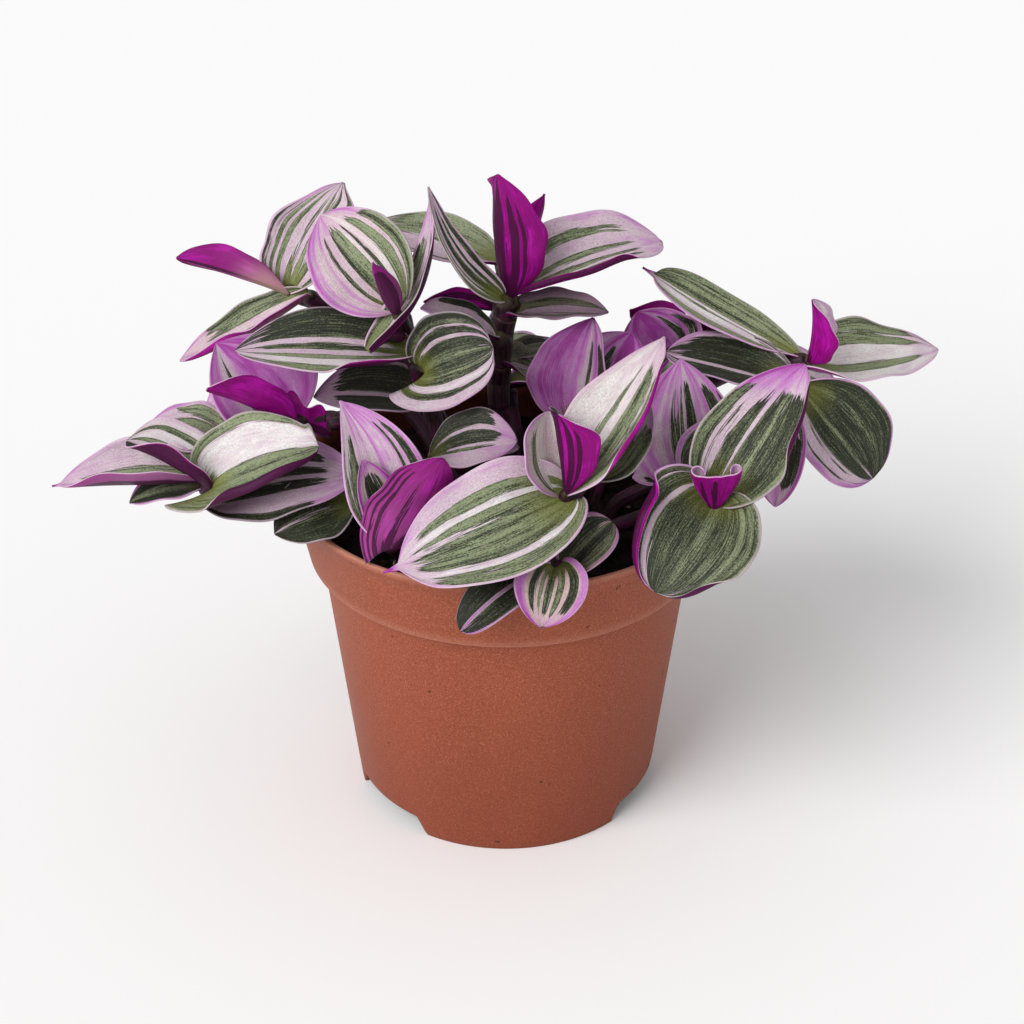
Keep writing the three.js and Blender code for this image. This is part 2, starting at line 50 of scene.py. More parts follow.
# %% [markdown]
# ## From arrays to a mesh
# Every surface here is a grid of points, so one small helper turns grids into a mesh. It takes four-cornered
# and three-cornered faces as whole arrays, and gives each point its named values, such as the stripes of a
# leaf.


# %% Mesh helper
def unit(vectors):
    """Each vector divided by its own length."""
    vectors = np.asarray(vectors, float)
    return vectors / np.maximum(np.linalg.norm(vectors, axis=-1, keepdims=True), 1e-12)


def add_object(name, data):
    """A new object in the scene with that data."""
    made = bpy.data.objects.new(name, data)
    bpy.context.scene.collection.objects.link(made)
    return made


class Body:
    """A growing list of points in millimetres, their values, their faces and the material of each face."""

    def __init__(self):
        self.points, self.values, self.faces, self.count = [], [], [], 0

    def add(self, points, quads, triangles=None, values=None, material=0):
        points = np.asarray(points, float).reshape(-1, 3)
        for corners in (quads, triangles):
            if corners is not None:
                self.faces.append((np.asarray(corners) + self.count, np.broadcast_to(material, len(corners))))
        self.points.append(points)
        self.values.append(values or {})
        self.count += len(points)

    def finish(self, name, materials, node):
        """Makes the piece at the origin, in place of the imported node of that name."""
        mesh = bpy.data.meshes.new(name)
        points = np.concatenate(self.points) * MM
        corners = np.concatenate([faces.ravel() for faces, _ in self.faces])
        totals = np.concatenate([np.full(len(faces), faces.shape[1]) for faces, _ in self.faces])
        numbers = np.concatenate([number for _, number in self.faces])
        mesh.vertices.add(len(points))
        mesh.vertices.foreach_set("co", points.astype(np.float32).ravel())
        mesh.loops.add(len(corners))
        mesh.loops.foreach_set("vertex_index", corners.astype(np.int32))
        mesh.polygons.add(len(totals))
        mesh.polygons.foreach_set("loop_start", (np.cumsum(totals) - totals).astype(np.int32))
        mesh.polygons.foreach_set("material_index", numbers.astype(np.int32))
        mesh.update(calc_edges=True)
        mesh.validate()
        mesh.polygons.foreach_set("use_smooth", np.ones(len(mesh.polygons), bool))
        for key in sorted(set().union(*self.values)):
            parts = [np.broadcast_to(values.get(key, np.zeros(3)), (len(part), 3))
                     for values, part in zip(self.values, self.points)]
            layer = mesh.attributes.new(key, "FLOAT_VECTOR", "POINT")
            layer.data.foreach_set("vector", np.concatenate(parts).astype(np.float32).ravel())
        for material in materials:
            mesh.materials.append(material)
        piece = add_object(name, mesh)
        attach(piece, "root")
        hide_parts(node)
        print(name, "faces:", len(mesh.polygons))


def grid_faces(rows, columns, wrap=False):
    """The four-cornered faces of a grid of points; wrap joins its last column to its first."""
    row, column = np.meshgrid(np.arange(rows - 1), np.arange(columns if wrap else columns - 1), indexing="ij")
    after = (column + 1) % columns
    near, far = row * columns, (row + 1) * columns
    return np.stack([near + column, near + after, far + after, far + column], -1).reshape(-1, 4)


def ring_faces(rows, columns):
    """The faces of a grid whose last row is joined to the first as well, like the skin of a ring."""
    return grid_faces(rows + 1, columns, wrap=True) % (rows * columns)


def tube_faces(rows, columns):
    """The faces of a wrapped grid, and the fans that close its ends at two points added after its own."""
    ring, after = np.arange(columns), np.roll(np.arange(columns), -1)
    last, crown = (rows - 1) * columns, np.full(columns, rows * columns)
    fans = [np.stack([ring, after, crown], -1), np.stack([after + last, ring + last, crown + 1], -1)]
    return grid_faces(rows, columns, wrap=True)[:, ::-1], np.concatenate(fans)


# %% [markdown]
# ## The blade of a leaf
# A leaf grows from a clasping base, is broadest near it and runs out to a point. Its middle line is a low
# arch, and each half is cupped, with a soft crease at the midrib. The cross-section is worked out as a line
# whose direction turns steadily from the midrib to the margin, and adding up its short steps gives its
# shape. The same sum lets a margin roll over, so that the purple underside shows, as on several leaves here.

# %% Leaf and stem numbers
UP = (0, 0, 1)
TO_FRONT = (0, -0.5, 1)
SOIL_TOP = 86.5
STEM_DEPTH = 14
STRAIGHT_ABOVE_SOIL = 2.5
STEM_RADIUS = 2.2
NECK = 0.02
LEAST_HALF_WIDTH = 0.25
CLASP = 1.5
BLADE_HALF = 0.3
RIM_HALF = 0.08
RIB_HEIGHT = 0.09
RIB_PITCH = 2.1
LEAF_ROWS = 52
LEAF_COLUMNS = 26
BAND_KINDS = {  # share of green, of lilac and of darkness for each letter of a leaf's bands
    "w": (0, -0.3, 0),
    "p": (0, 0.3, 0),
    "l": (0, 0.9, 0),
    "v": (0, 1.7, 0.2),
    "s": (0.5, 0.2, 0.2),
    "g": (1, 0.1, 0.15),
    "m": (1, 0.2, 0.8),
    "d": (1, 0.3, 1),
}
LEAF_USUAL = dict(
    bend=0, point=0.75, base=0.6, wave=0.05, spur=0, flare=(0, 0, 0.9), lobes=(0, 0), end=1, rolls=(),
    fade=0.5, lilac=0.4, shade=0, dull=0, cream=0)


def leaf(foot, tip, width, bands, fold, arch, faces=TO_FRONT, **own):
    """A leaf by its foot, tip and greatest width, its bands from margin to margin, the turn of each half, the
    rise of its midrib as a share of its length, and the direction that its upper side faces. Of its own, bend
    swings the midrib aside; point and base set the outline; wave, spur, flare, lobes, end and rolls shape the
    margins; fade, lilac, dull and cream change the colours; and shade is painted shade on the upper side."""
    main = dict(foot=foot, tip=tip, width=width, bands=bands, fold=fold, arch=arch, faces=faces)
    return {**LEAF_USUAL, **main, **own}


STEMS = {}


def grow(name, path, leaves, thick=1):
    """A stem by the spot where it stands in the soil, the bends of its line, and its leaves."""
    STEMS[name] = dict(path=path, leaves=leaves, thick=thick)
    print(name, "leaves:", len(leaves))


# %% [markdown]
# ## The leaves, one by one
# Places are in millimetres from the middle of the pot's foot: to the right, to the back and up. The foot and
# tip of a leaf give its length and direction, and its upper side faces a direction of its own. A letter
# stands for each band across it. Each stem is a line that bends up out of the soil, with its leaves.

# %% Leaves on the left
grow("stem_left_front", [(-20, -16), (-26, -18, 98), (-50, -21, 111), (-81, -22, 109.5)], leaves=[
    leaf((-81, -22, 109), (-123.4, -15, 103), 25, "pppdddpppggpppppp", 1.5, 0.02, (0, -0.25, 1), dull=0.7,
         point=0.9, spur=0.04),
    leaf((-77.5, -26.5, 109.5), (-49, -30, 123.5), 29.5, "gggwwwwwwwwggmgggggmgggg", 0.45, 0.1, fade=0.1,
         base=0.3, point=0.55, flare=(2, 0, 0.95), lobes=(0.05, 0.32), rolls=[(1, 0.2, 1.1, 2.9, 0.34)],
         dull=0.4),
    leaf((-79, -24, 107.5), (-101, -20, 119.5), 25, "pddddddddddddgwwmgwwwmgwwp", 1.35, 0.04, (0, 0.05, 1),
         point=0.5, fade=0.1),
    leaf((-75, -11, 111.5), (-97.5, -6, 117), 20, "pggsgggpggsggp", 0.5, 0.1, (0, -0.3, 1), fade=1.1),
    leaf((-80, -22, 102), (-39, -27, 113), 29, "ppdpdddpddpdddpppppddd", 0.4, 0.08, fade=0.6, shade=0.25),
    leaf((-48, -22.5, 103.5), (-79.5, -26.5, 102.5), 18, "dddddpdddd", 0.4, 0.1, (0, -0.3, 1), fade=0.1),
    leaf((-42, -28, 104.5), (-61, -37, 101), 22, "dddddsddddd", 0.4, 0.1, fade=0.1),
    leaf((-81, -18, 104), (-101, -24, 103), 16, "lddgddl", 0.4, 0.1, (0, -0.1, 1), fade=0.1)])
grow("stem_left", [(-14, -4), (-22, -6, 104), (-40, -9, 119), (-55.5, -10, 121.5)], leaves=[
    leaf((-59.5, -1, 115.6), (-79, 6, 135.8), 35, "vvlvlpdplvvvvlvvvlv", 0.6, 0.06, (0.3, -0.7, 0.6),
         point=0.9, fade=0.1),
    leaf((-56.5, -16, 123), (-78, -23, 137), 16, "ppppppppdd", 1.1, 0.02, (0, 0.9, 0.6), point=0.6),
    leaf((-47.5, -12, 116.5), (-70, -14.5, 121.5), 18, "pppdppdpp", 1.1, 0.06, (0, 0.9, 0.6), wave=0.25)])
grow("stem_left_high", [(-12, 10), (-18, 13, 108), (-38, 18, 134), (-60, 20, 145)], leaves=[
    leaf((-59.5, 15.5, 146), (-90.5, 22, 154), 14, "ppppppdppdppp", 1.3, 0.04, (0, 1, 0.4), base=1.05,
         dull=0.15, cream=0.5, fade=0),
    leaf((-60, 20, 145), (-44.5, 32, 172), 24.5, "pdpgpgppgpgpgdpppmmgp", 0.6, 0.03, (-0.4, -0.8, 0.3),
         bend=-0.02, point=0.85, base=0.45, wave=0.16, fade=0.1, flare=(0, 3, 0.87)),
    leaf((-53.5, 14, 147), (-90.5, 14, 126.5), 16, "lwwwppggppgsgdg", 1.15, -0.04, (0, -0.3, 1),
         rolls=[(-1, 0.4, 1.05, 1.8, 0.4)], cream=0.3)])

# %% Leaves in the middle
grow("stem_centre_left", [(-12, 2), (-15, 1, 98), (-21, 0, 120), (-28, 0, 146)], leaves=[
    leaf((-28, 0, 150), (-49.5, 14, 170), 30, "llplpplpdppdgggwdwwgggpgdgg", 0.6, 0.08, (-0.2, -0.9, 0.6),
         fade=0.45, cream=0.25, lilac=0.7),
    leaf((-29, -8.5, 151.5), (-34.5, -11, 167.5), 10, "ppddddpp", 1.5, 0.03, (0, 1, 0.2), point=1.2,
         dull=0.4),
    leaf((-36, -12, 142), (-20, 4, 179.5), 14, "pmggpgggpggd", 0.95, -0.17, (-0.9, -0.45, 0.3), fade=0.7,
         base=0.5, point=0.9),
    leaf((-25, -5, 137.5), (-72, -8, 140.5), 23, "pgggwwwggppmdppmdddmdddd", 0.5, 0.06, fade=0.2, shade=0.15,
         rolls=[(-1, 0, 0.5, 1.5, 0.3)]),
    leaf((-21.5, -8, 134), (-3.5, -15, 145), 27, "ddddpdddpmdmmgmdmmgmdpwpddpwwp", 0.5, 0.1,
         (-0.1, -0.8, 0.6), point=0.4, base=0.35, lobes=(0, 0.4), fade=0.1, shade=0.2),
    leaf((-21, 4, 118), (-52.5, 0, 122.5), 22, "pddmdddpdddmddp", 0.5, 0.08, (0, -0.3, 1), shade=0.55)])
grow("stem_centre_tall", [(2, 10), (-1, 10, 100), (-2, 10, 122), (0, 10, 147)], thick=1.4, leaves=[
    leaf((0, 8, 148.5), (-2, 12, 182.5), 27, "pppppdpddpdddddddddddddd", 1.3, -0.05, (0.75, 0.65, 0),
         bend=-0.02, base=0.65, fade=0.3, flare=(0, 3.5, 0.94)),
    leaf((2, 16, 147), (10.5, 24, 172), 15, "ppppppd", 1.1, 0.06, (-0.3, 1, 0.2), point=1.1),
    leaf((-1.5, 6, 149.5), (-20, -4, 185.5), 11.5, "ggdggwdpddpdpddp", 0.9, -0.03, (0.5, -0.6, 0.7),
         bend=-0.12, fade=0.2, base=0.4),
    leaf((-2, 16, 155), (-38, 30, 160), 19, "ppdppppppsggsgggg", 0.6, 0.02, (0, -0.4, 1), fade=0.2),
    leaf((2.5, 11, 148.5), (43, 26, 157), 27, "pppssgpppgspdgpdgppgs", 0.7, 0.1, (-0.1, -0.4, 1), base=0.5,
         point=0.6, fade=0.4, rolls=[(1, -0.2, 0.75, 2.4, 0.22)], shade=0.05),
    leaf((0.5, 8, 143), (27.5, 2, 147), 17, "spsgspssgps", 0.4, 0.05, (0, -0.1, 1), shade=0.85, fade=0.1),
    leaf((-3, 11, 143.5), (-22, 3.5, 149.5), 10, "pdpddp", 1.2, 0.02, (0, 1, 0.5)),
    leaf((-3, 5, 137.5), (-22.5, -6, 152), 14, "ddpppppdd", 0.6, 0.05, (0, -0.3, 1), shade=0.3),
    leaf((-1.5, 8, 129), (12, 14, 119.5), 16, "ggsgpggsg", 0.4, 0.08, (0, -0.3, 1), shade=0.6),
    leaf((-1, 15, 125.5), (15.5, 21, 128.5), 11, "gdggdg", 0.4, 0.06, (0, -0.1, 1), shade=0.6)])
grow("stem_centre_right", [(14, 0), (20, 2, 100), (22, 3, 110), (23, 2, 116)], leaves=[
    leaf((18, -6, 118.5), (23.5, 1.5, 145.7), 28, "vlvvvvvlvlpdlvdddl", 0.8, 0.05, (-0.5, -0.7, 0.3),
         point=0.9, shade=0.5),
    leaf((23.5, 2, 116.5), (34.5, 12, 136), 26, "vddvdvvvdvv", 0.8, 0.05, (-0.3, -0.8, 0.3), fade=0.9)])

# %% Leaves on the right
grow("stem_right_behind", [(14, 20), (24, 24, 108), (38, 26, 122), (47, 26, 125.5)], leaves=[
    leaf((47, 26, 125), (35, 30, 134.5), 20, "pppdppp", 1.1, 0.05, (0, 1, 0.3), point=1),
    leaf((47, 25, 124.5), (36.5, 21, 138), 28, "vvdvvvvvdvdv", 0.6, 0.08, (-0.4, -0.8, 0.5), fade=0.6),
    leaf((48, 26, 124), (73, 22, 122), 22, "dddpddd", 0.8, 0.06, (0, 0.8, 0.6))])
grow("stem_right", [(26, 6), (36, 8, 106), (60, 9, 124), (82.5, 10, 128.5)], leaves=[
    leaf((81, 10, 129.5), (37.5, 19, 152.5), 15.5, "lpgggpwwwgwgmmggmgmgg", 0.5, -0.03, (0, -0.4, 1),
         fade=0.1, point=0.4, spur=0.08),
    leaf((83, 8, 129.5), (83, 8, 148), 19, "pppppppppppwwpp", 1.3, 0.04, (1, -0.1, 0.2)),
    leaf((84, 11, 126.5), (122.7, 28, 123), 26, "gmggsgggwwwwwwggggwwwwwwwp", 0.7, -0.02, fade=0.3, base=0.35,
         lobes=(0, 0.12), wave=0.08),
    leaf((81.5, 6, 122), (102, -2, 98), 28, "ldddmdddsdddmddsddmddpdppdppl", 0.5, 0.1, (0.1, -0.8, 0.6),
         fade=0.08, point=0.6, lilac=0.8),
    leaf((78, 0, 126), (44, 8, 132), 23, "pddddddpdddddddddpd", 0.4, 0.04, (0, -0.2, 1), shade=0.2, fade=0.2,
         point=0.6),
    leaf((77.5, 0, 121.5), (74.5, -9, 93), 16, "vddlddv", 0.5, 0.08, (-0.3, -0.8, 0.6))])
grow("stem_right_inner", [(30, -4), (38, -8, 98), (45, -10, 102), (51, -12, 104)], leaves=[
    leaf((51, -12, 103), (47, -4, 136), 32, "vlplvllplldldlddmllpvmddmldv", 0.5, 0.06, (-0.2, -0.9, 0.3),
         point=0.9),
    leaf((50.5, -16, 104.5), (63, -11, 121), 22, "lddpddv", 0.6, 0.06, (0, -0.8, 0.5)),
    leaf((50.5, -12, 103), (34.5, -14, 105), 14, "lddpdd", 0.6, 0.06, (0, -0.3, 1))])

# %% Leaves at the front
grow("stem_front_centre", [(8, -24), (9, -30, 98), (12.5, -37, 107), (15.5, -40, 113.5)], leaves=[
    leaf((16, -40.5, 114.5), (-31.3, -58.5, 102.5), 34, "pgmgsgwwdgmgmgsgmgwdggwwmggpppppp", 0.5, 0.12,
         (-0.1, -0.6, 0.8), bend=-0.07, fade=0.4, point=0.6, base=0.42, spur=0.08,
         rolls=[(-1, 0.75, 1.1, 2.6, 0.45)]),
    leaf((15.5, -40, 115.5), (41, -22, 151.5), 24, "pwwwwwwwgwwgdggsggwp", 0.6, 0.05, (-0.5, -0.7, 0.5),
         bend=0.04, rolls=[(1, 0.15, 0.95, 2.4, 0.2)], point=0.95, cream=0.15),
    leaf((14.5, -39.5, 114.5), (11, -34, 136), 24, "lppgwwppwwwwppp", 0.8, 0.04, (0.4, -0.8, 0.2), bend=-0.06,
         fade=0.2, cream=0.4, base=0.9),
    leaf((15.5, -44, 117.5), (13, -46, 141.5), 21, "pppppdpddpddddddddddd", 1.1, 0.02, (0.75, 0.6, 0.1),
         base=0.8, point=0.45, fade=0.1),
    leaf((23.5, -33, 116), (37, -26, 135), 22, "sgsgpgsgsgdg", 0.5, 0.06, (-0.4, -0.7, 0.5), shade=0.3)])
grow("stem_front_right", [(26, -20), (34, -25, 98), (47, -31, 106), (55.5, -35, 109.5)], leaves=[
    leaf((55.5, -35, 110.5), (78.5, -18, 141.5), 29, "gmgmpdpmmdpmdmgmmmdmmmmgm", 0.6, 0.06,
         (-0.3, -0.8, 0.5), fade=(2, 0.1), lilac=1.1, base=0.38, rolls=[(1, 0.3, 1, 2.5, 0.22)]),
    leaf((54.5, -40, 109.5), (53.5, -45, 123.5), 27, "pppppppdpdppppp", 0.3, 0.02, (0, 1, 0.4), base=0.8,
         point=0.1, end=0.94, rolls=[(1, -0.5, 1.6, 4.4, 0.76), (-1, -0.5, 1.6, 4.4, 0.64)]),
    leaf((54, -36, 111), (38.5, -58.5, 96.5), 38, "gmgmmgmmsmmmmgmmmmmmmmdmppdmmpdml", 0.5, 0.14,
         (-0.1, -0.8, 0.6), point=0.5, base=0.4, fade=0.08,
         rolls=[(1, 0.2, 1.2, 2.7, 0.34), (-1, 0.6, 1.2, 2.7, 0.3)], shade=0.1)])
grow("stem_over_rim", [(12, -40), (13, -44, 95), (13.5, -49, 99), (13.5, -53, 100)], leaves=[
    leaf((15.3, -52.5, 99.5), (27.3, -47.8, 111.3), 16, "ppdmdmsgddmsgmpp", 0.8, 0.08, (-0.4, -0.8, 0.5),
         fade=0.1, cream=1, shade=0.6, point=0.5, lilac=0.6),
    leaf((12.5, -56.5, 102.4), (8.8, -69.7, 93.2), 20, "llldmdpdgpmdpgpdmplvll", 0.5, 0.16, (0, -0.8, 0.6),
         point=0.7, cream=0.9, lilac=0.6, base=0.5, fade=0.4, lobes=(0.1, 0), shade=0.1),
    leaf((9.8, -51.5, 98.8), (-11.5, -68.5, 91.3), 14, "lddddddlddddddd", 0.5, 0.15, (0, -0.5, 0.9),
         fade=0.15, point=0.5, shade=0.35)])
grow("stem_front_left", [(-24, -34), (-27, -37, 94), (-30, -40, 99), (-30.5, -42, 101.5)], leaves=[
    leaf((-30.5, -42, 101.5), (-43, -30, 137), 26, "lgwggdplplppvplpldlddll", 0.8, 0.05, (0.2, -0.9, 0.3),
         bend=0.1, point=1),
    leaf((-29.5, -50, 104.5), (-16, -43.5, 127.5), 23, "pgpppgpppppdpppgppppdpgpgp", 0.5, -0.04,
         (0.1, 1, 0.4), dull=0.3, point=0.65, base=0.4, lobes=(0, 0.3), wave=0.12, fade=0.2),
    leaf((-30, -42, 104), (-37, -39, 124.5), 13, "vlpdmdmdplv", 0.6, 0.06, (0.3, -0.8, 0.3), lilac=1,
         point=0.8, cream=0.5, shade=0.35)])
grow("stem_centre_low", [(-6, -14), (-10, -17, 100), (-16, -20, 110), (-19.5, -22, 116.5)], leaves=[
    leaf((-20, -22, 115.5), (3, -28, 124), 20, "ddmddpddmdpmppppppp", 0.5, 0.12, base=0.9, shade=0.3),
    leaf((-16.5, -18, 113), (3.5, -16, 115.5), 18, "ddddpdd", 0.4, 0.08, (0, -0.1, 1), shade=0.5)])

# %% Leaves at the back
grow("stem_back_left", [(-20, 24), (-26, 32, 98), (-38, 40, 108), (-52, 44, 112)], leaves=[
    leaf((-50, 44, 112), (-88, 36, 99), 24, "lpggwwwggpdppddddl", 0.5, 0.12, UP),
    leaf((-51, 47.5, 111), (-78, 69, 107), 25, "lddpdppdddwwdwl", 0.5, 0.12, UP),
    leaf((-44, 42, 110), (-36, 68, 100), 24, "pgggwwwgggpgl", 0.5, 0.12, (0, 0.2, 1)),
    leaf((-52, 44, 113), (-60, 48, 134), 13, "ppdpddp", 1.8, 0.04, (1, -0.3, 0), point=1.2),
    leaf((-36, 38, 108), (-46, 66, 114), 20, "lppgpdggpdpl", 0.6, 0.08, (0, -0.2, 1))])
grow("stem_back", [(4, 28), (2, 36, 98), (0, 44, 105), (-3, 52, 108)], leaves=[
    leaf((-3, 50, 108), (-21, 68, 98), 22, "lpdpgggwwggpl", 0.5, 0.14, (0, 0.1, 1)),
    leaf((-1, 52, 107.5), (22, 69, 94.5), 22, "lggpwwgggdddpl", 0.5, 0.14, (0, 0.1, 1)),
    leaf((1, 39, 105), (31, 41, 105), 20, "lddddpddl", 0.6, 0.08, UP),
    leaf((-3, 52, 108), (-4, 58, 121), 11, "ppddpp", 1.5, 0.03, (0, -1, 0), point=1.2),
    leaf((0, 44, 105), (-22, 34, 106), 20, "lddpdddpl", 0.6, 0.08, UP)])
grow("stem_back_right", [(26, 22), (34, 30, 98), (46, 36, 105), (58, 42, 108)], leaves=[
    leaf((56, 41, 108), (98, 34, 106), 25, "lpgggwwggpgddpl", 0.5, 0.12, UP),
    leaf((57, 44, 107), (80, 68, 99), 26, "lddpwwpgggpddl", 0.5, 0.14, UP),
    leaf((48, 37, 106), (46, 68, 98), 24, "pwwggdggpddl", 0.5, 0.12, (0, 0.2, 1)),
    leaf((58, 42, 109), (66, 44, 130), 13, "pppdddp", 1.6, 0.04, (-1, 0, 0), point=1.2),
    leaf((40, 33, 102), (58, 22, 112), 18, "lddpdddl", 0.6, 0.08, UP)])
print("stems:", len(STEMS), "leaves:", sum(len(stem["leaves"]) for stem in STEMS.values()))


# %% Blade surface
def smooth(low, high, x):
    """0 below low, 1 above high, and an even S between them."""
    t = np.clip((x - low) / (high - low), 0, 1)
    return t * t * (3 - 2 * t)


def half_width(along, width, base, point):
    """(along + neck) to the base power times (1 - along) to the point power, scaled to half the width."""
    best = (base - NECK * point) / (base + point)
    top = (best + NECK) ** base * (1 - best) ** point
    share = (along + NECK) ** base * np.clip(1 - along, 0, 1) ** point / top
    return np.maximum(width / 2 * share, LEAST_HALF_WIDTH)


def running_sum(steps, spacing):
    """The running total of a line's short steps from its middle column outwards, by the trapezium rule."""
    total = np.cumsum((steps[:, 1:] + steps[:, :-1]) / 2, axis=1) * spacing
    total = np.concatenate([np.zeros((len(steps), 1)), total], axis=1)
    return total - total[:, total.shape[1] // 2][:, None]


def blade_surface(one, seed):
    """A leaf's middle surface. Its midrib is foot + axis·u·length + (lift·arch + side·bend)·4u(1-u)·length.
    The cross-section's direction turns by cup·v, with a crease at v = 0, and more where a margin rolls. A roll
    is told by its side, start, end, angle and share of the half. Lobes of the base reach back along the axis
    by lobe·|v|^1.3·(1-u)³·length. A spur is a narrow wedge at the tip, and a flare is a bulge of the left or
    right margin, in millimetres, that fades away round its place."""
    chance = np.random.default_rng(seed)
    foot, tip = np.array(one["foot"], float), np.array(one["tip"], float)
    length = np.linalg.norm(tip - foot)
    axis = (tip - foot) / length
    lift = unit(np.array(one["faces"], float) - np.dot(one["faces"], axis) * axis)
    side = np.cross(axis, lift)
    u = np.linspace(0, one["end"], LEAF_ROWS + 1)[:, None]
    v = np.linspace(-1, 1, LEAF_COLUMNS + 1)[None, :]
    rise = 4 * u * (1 - u) * length
    middle = foot + axis * length * u + (lift * one["arch"] + side * one["bend"]) * rise
    tangent = unit(np.gradient(middle, axis=0))
    across = unit(side - (tangent @ side)[:, None] * tangent)
    normal = np.cross(across, tangent)
    fold = one["fold"]
    cup = fold + (max(CLASP, fold) - fold) * (1 - u) ** 6
    cup = cup * (1 - u**6) + 0.25 * u**6
    turn = cup * (0.7 * v + 0.3 * np.tanh(v / 0.12))
    for which, start, end, angle, share in one["rolls"]:
        reach = smooth(start, start + 0.25, u) * (1 - smooth(end - 0.15, end, u))
        turn = turn + which * angle * reach * smooth(1 - share, 1, which * v)
    spur = one["spur"]
    half = half_width(np.minimum(u / (1 - spur), 1), one["width"], one["base"], one["point"])
    half = np.maximum(half, 0.3 * length * np.minimum(1 - u, spur))
    left, right, place = one["flare"]
    half = half + np.where(v < 0, left, right) * np.exp(-((u - place) / (0.55 * (1 - place))) ** 2)
    spacing = 2 / LEAF_COLUMNS
    x = half * running_sum(np.cos(turn), spacing)
    z = half * running_sum(np.sin(turn), spacing)
    beat = chance.uniform(1.6, 2.8)
    phase = chance.uniform(0, 2 * np.pi, 2)
    ripple = np.sin(2 * np.pi * beat * u + np.where(v < 0, *phase))
    z = z + one["wave"] * half * np.abs(v) ** 2 * ripple * smooth(0.05, 0.3, u)
    z = z + RIB_HEIGHT * np.cos(v * one["width"] * RIB_PITCH) * (1 - v * v) * smooth(0, 0.2, u)
    points = middle[:, None, :] + across[:, None, :] * x[..., None] + normal[:, None, :] * z[..., None]
    back = np.where(v < 0, *one["lobes"]) * length * np.abs(v) ** 1.3 * (1 - u) ** 3
    points = points - axis * back[..., None]
    return points, u + 0 * v, v + 0 * u, length


def blade_values(one, u, v, length, seed):
    """Bands by letter, read across from one margin to the other, plus where each point lies on the leaf."""
    kinds = np.array([BAND_KINDS[letter] for letter in one["bands"]], float)
    places = np.linspace(-1, 1, len(kinds))
    read = np.stack([np.interp(v, places, kinds[:, i]) for i in range(3)], -1)
    fading = np.interp(v, (-1, 1), np.broadcast_to(one["fade"], 2))
    read[..., 0] -= fading * (0.5 * smooth(0.45, 0.9, u) + 1.6 * smooth(0.76, 0.93, u + 0.1 * v * v))
    read[..., 0] += 0.6 * (1 - smooth(0.04, 0.3, u + 0.5 * v * v))
    read[..., 1] += one["lilac"] * (smooth(0.7, 1, np.abs(v)) + 0.6 * smooth(0.75, 1, u))
    read[..., 1] += 0.5 * fading * smooth(0.45, 0.9, u)
    if one["spur"]:
        read += np.array([-3, 3, 0]) * smooth(1 - one["spur"], 1, u)[..., None]
    grain = np.stack([v * one["width"] / 2 + seed * 41.3, u * length, np.full_like(u, seed * 7.7)], -1)
    place = np.stack([u + 0.3 * v * v * (1 - u), np.abs(v), u], -1)
    # tone holds the share of painted shade on the upper side, the dullness of the underside and the cream tint
    tone = np.broadcast_to([one[key] for key in ("shade", "dull", "cream")], grain.shape)
    values = dict(bands=read, grain=grain, place=place, tone=tone)
    return {key: value.reshape(-1, 3) for key, value in values.items()}


def add_blade(body, one, seed):
    """The middle surface moved half the thickness up and down along its normal, and closed round the rim."""
    points, u, v, length = blade_surface(one, seed)
    normal = unit(np.cross(np.gradient(points, axis=1), np.gradient(points, axis=0)))
    thick = (BLADE_HALF * (1 - 0.6 * v * v) * (1 - 0.5 * u) + RIM_HALF)[..., None]
    rows, columns = u.shape
    upper, lower = points + normal * thick, points - normal * thick
    faces = grid_faces(rows, columns)
    count = rows * columns
    under = faces[:, ::-1] + count
    number = np.arange(count).reshape(rows, columns)
    loop = np.concatenate([number[0, :-1], number[:-1, -1], number[-1, :0:-1], number[:0:-1, 0]])
    after = np.roll(loop, -1)
    rim = np.stack([after, loop, loop + count, after + count], -1)
    kinds = np.repeat([0, 1, 0], [len(faces), len(under), len(rim)])
    values = {key: np.tile(value, (2, 1)) for key, value in blade_values(one, u, v, length, seed).items()}
    body.add(np.stack([upper, lower]), np.concatenate([faces, under, rim]), values=values, material=kinds)


# %% [markdown]
# ## Stems and the sheaths of the leaves
# A tradescantia stem is a juicy rod, a little thicker at each joint, and every leaf grips it with a closed
# sheath below its blade. Both are a round section carried along a smooth line. The section is kept upright
# by turning it from the line's own direction, so nothing twists.


# %% Stem surface
STEM_POINTS = 90
SHEATH_POINTS = 18
SHEATH_RADIUS = 2.15
JOINT_SWELLING = 0.25
ACROSS_STEMS = (0.31, 0.95, 0.05)


def smooth_line(points, count):
    """A curve through the points: between each two it is the cubic whose slopes are half the chord across."""
    points = np.asarray(points, float)
    points = np.vstack([2 * points[0] - points[1], points, 2 * points[-1] - points[-2]])
    t = np.linspace(0, len(points) - 3, count)
    i = np.minimum(t.astype(int), len(points) - 4)
    f = (t - i)[:, None]
    a, b, c, d = points[i], points[i + 1], points[i + 2], points[i + 3]
    return 0.5 * (2 * b + (c - a) * f + (2 * a - 5 * b + 4 * c - d) * f**2 + (3 * b - a - 3 * c + d) * f**3)


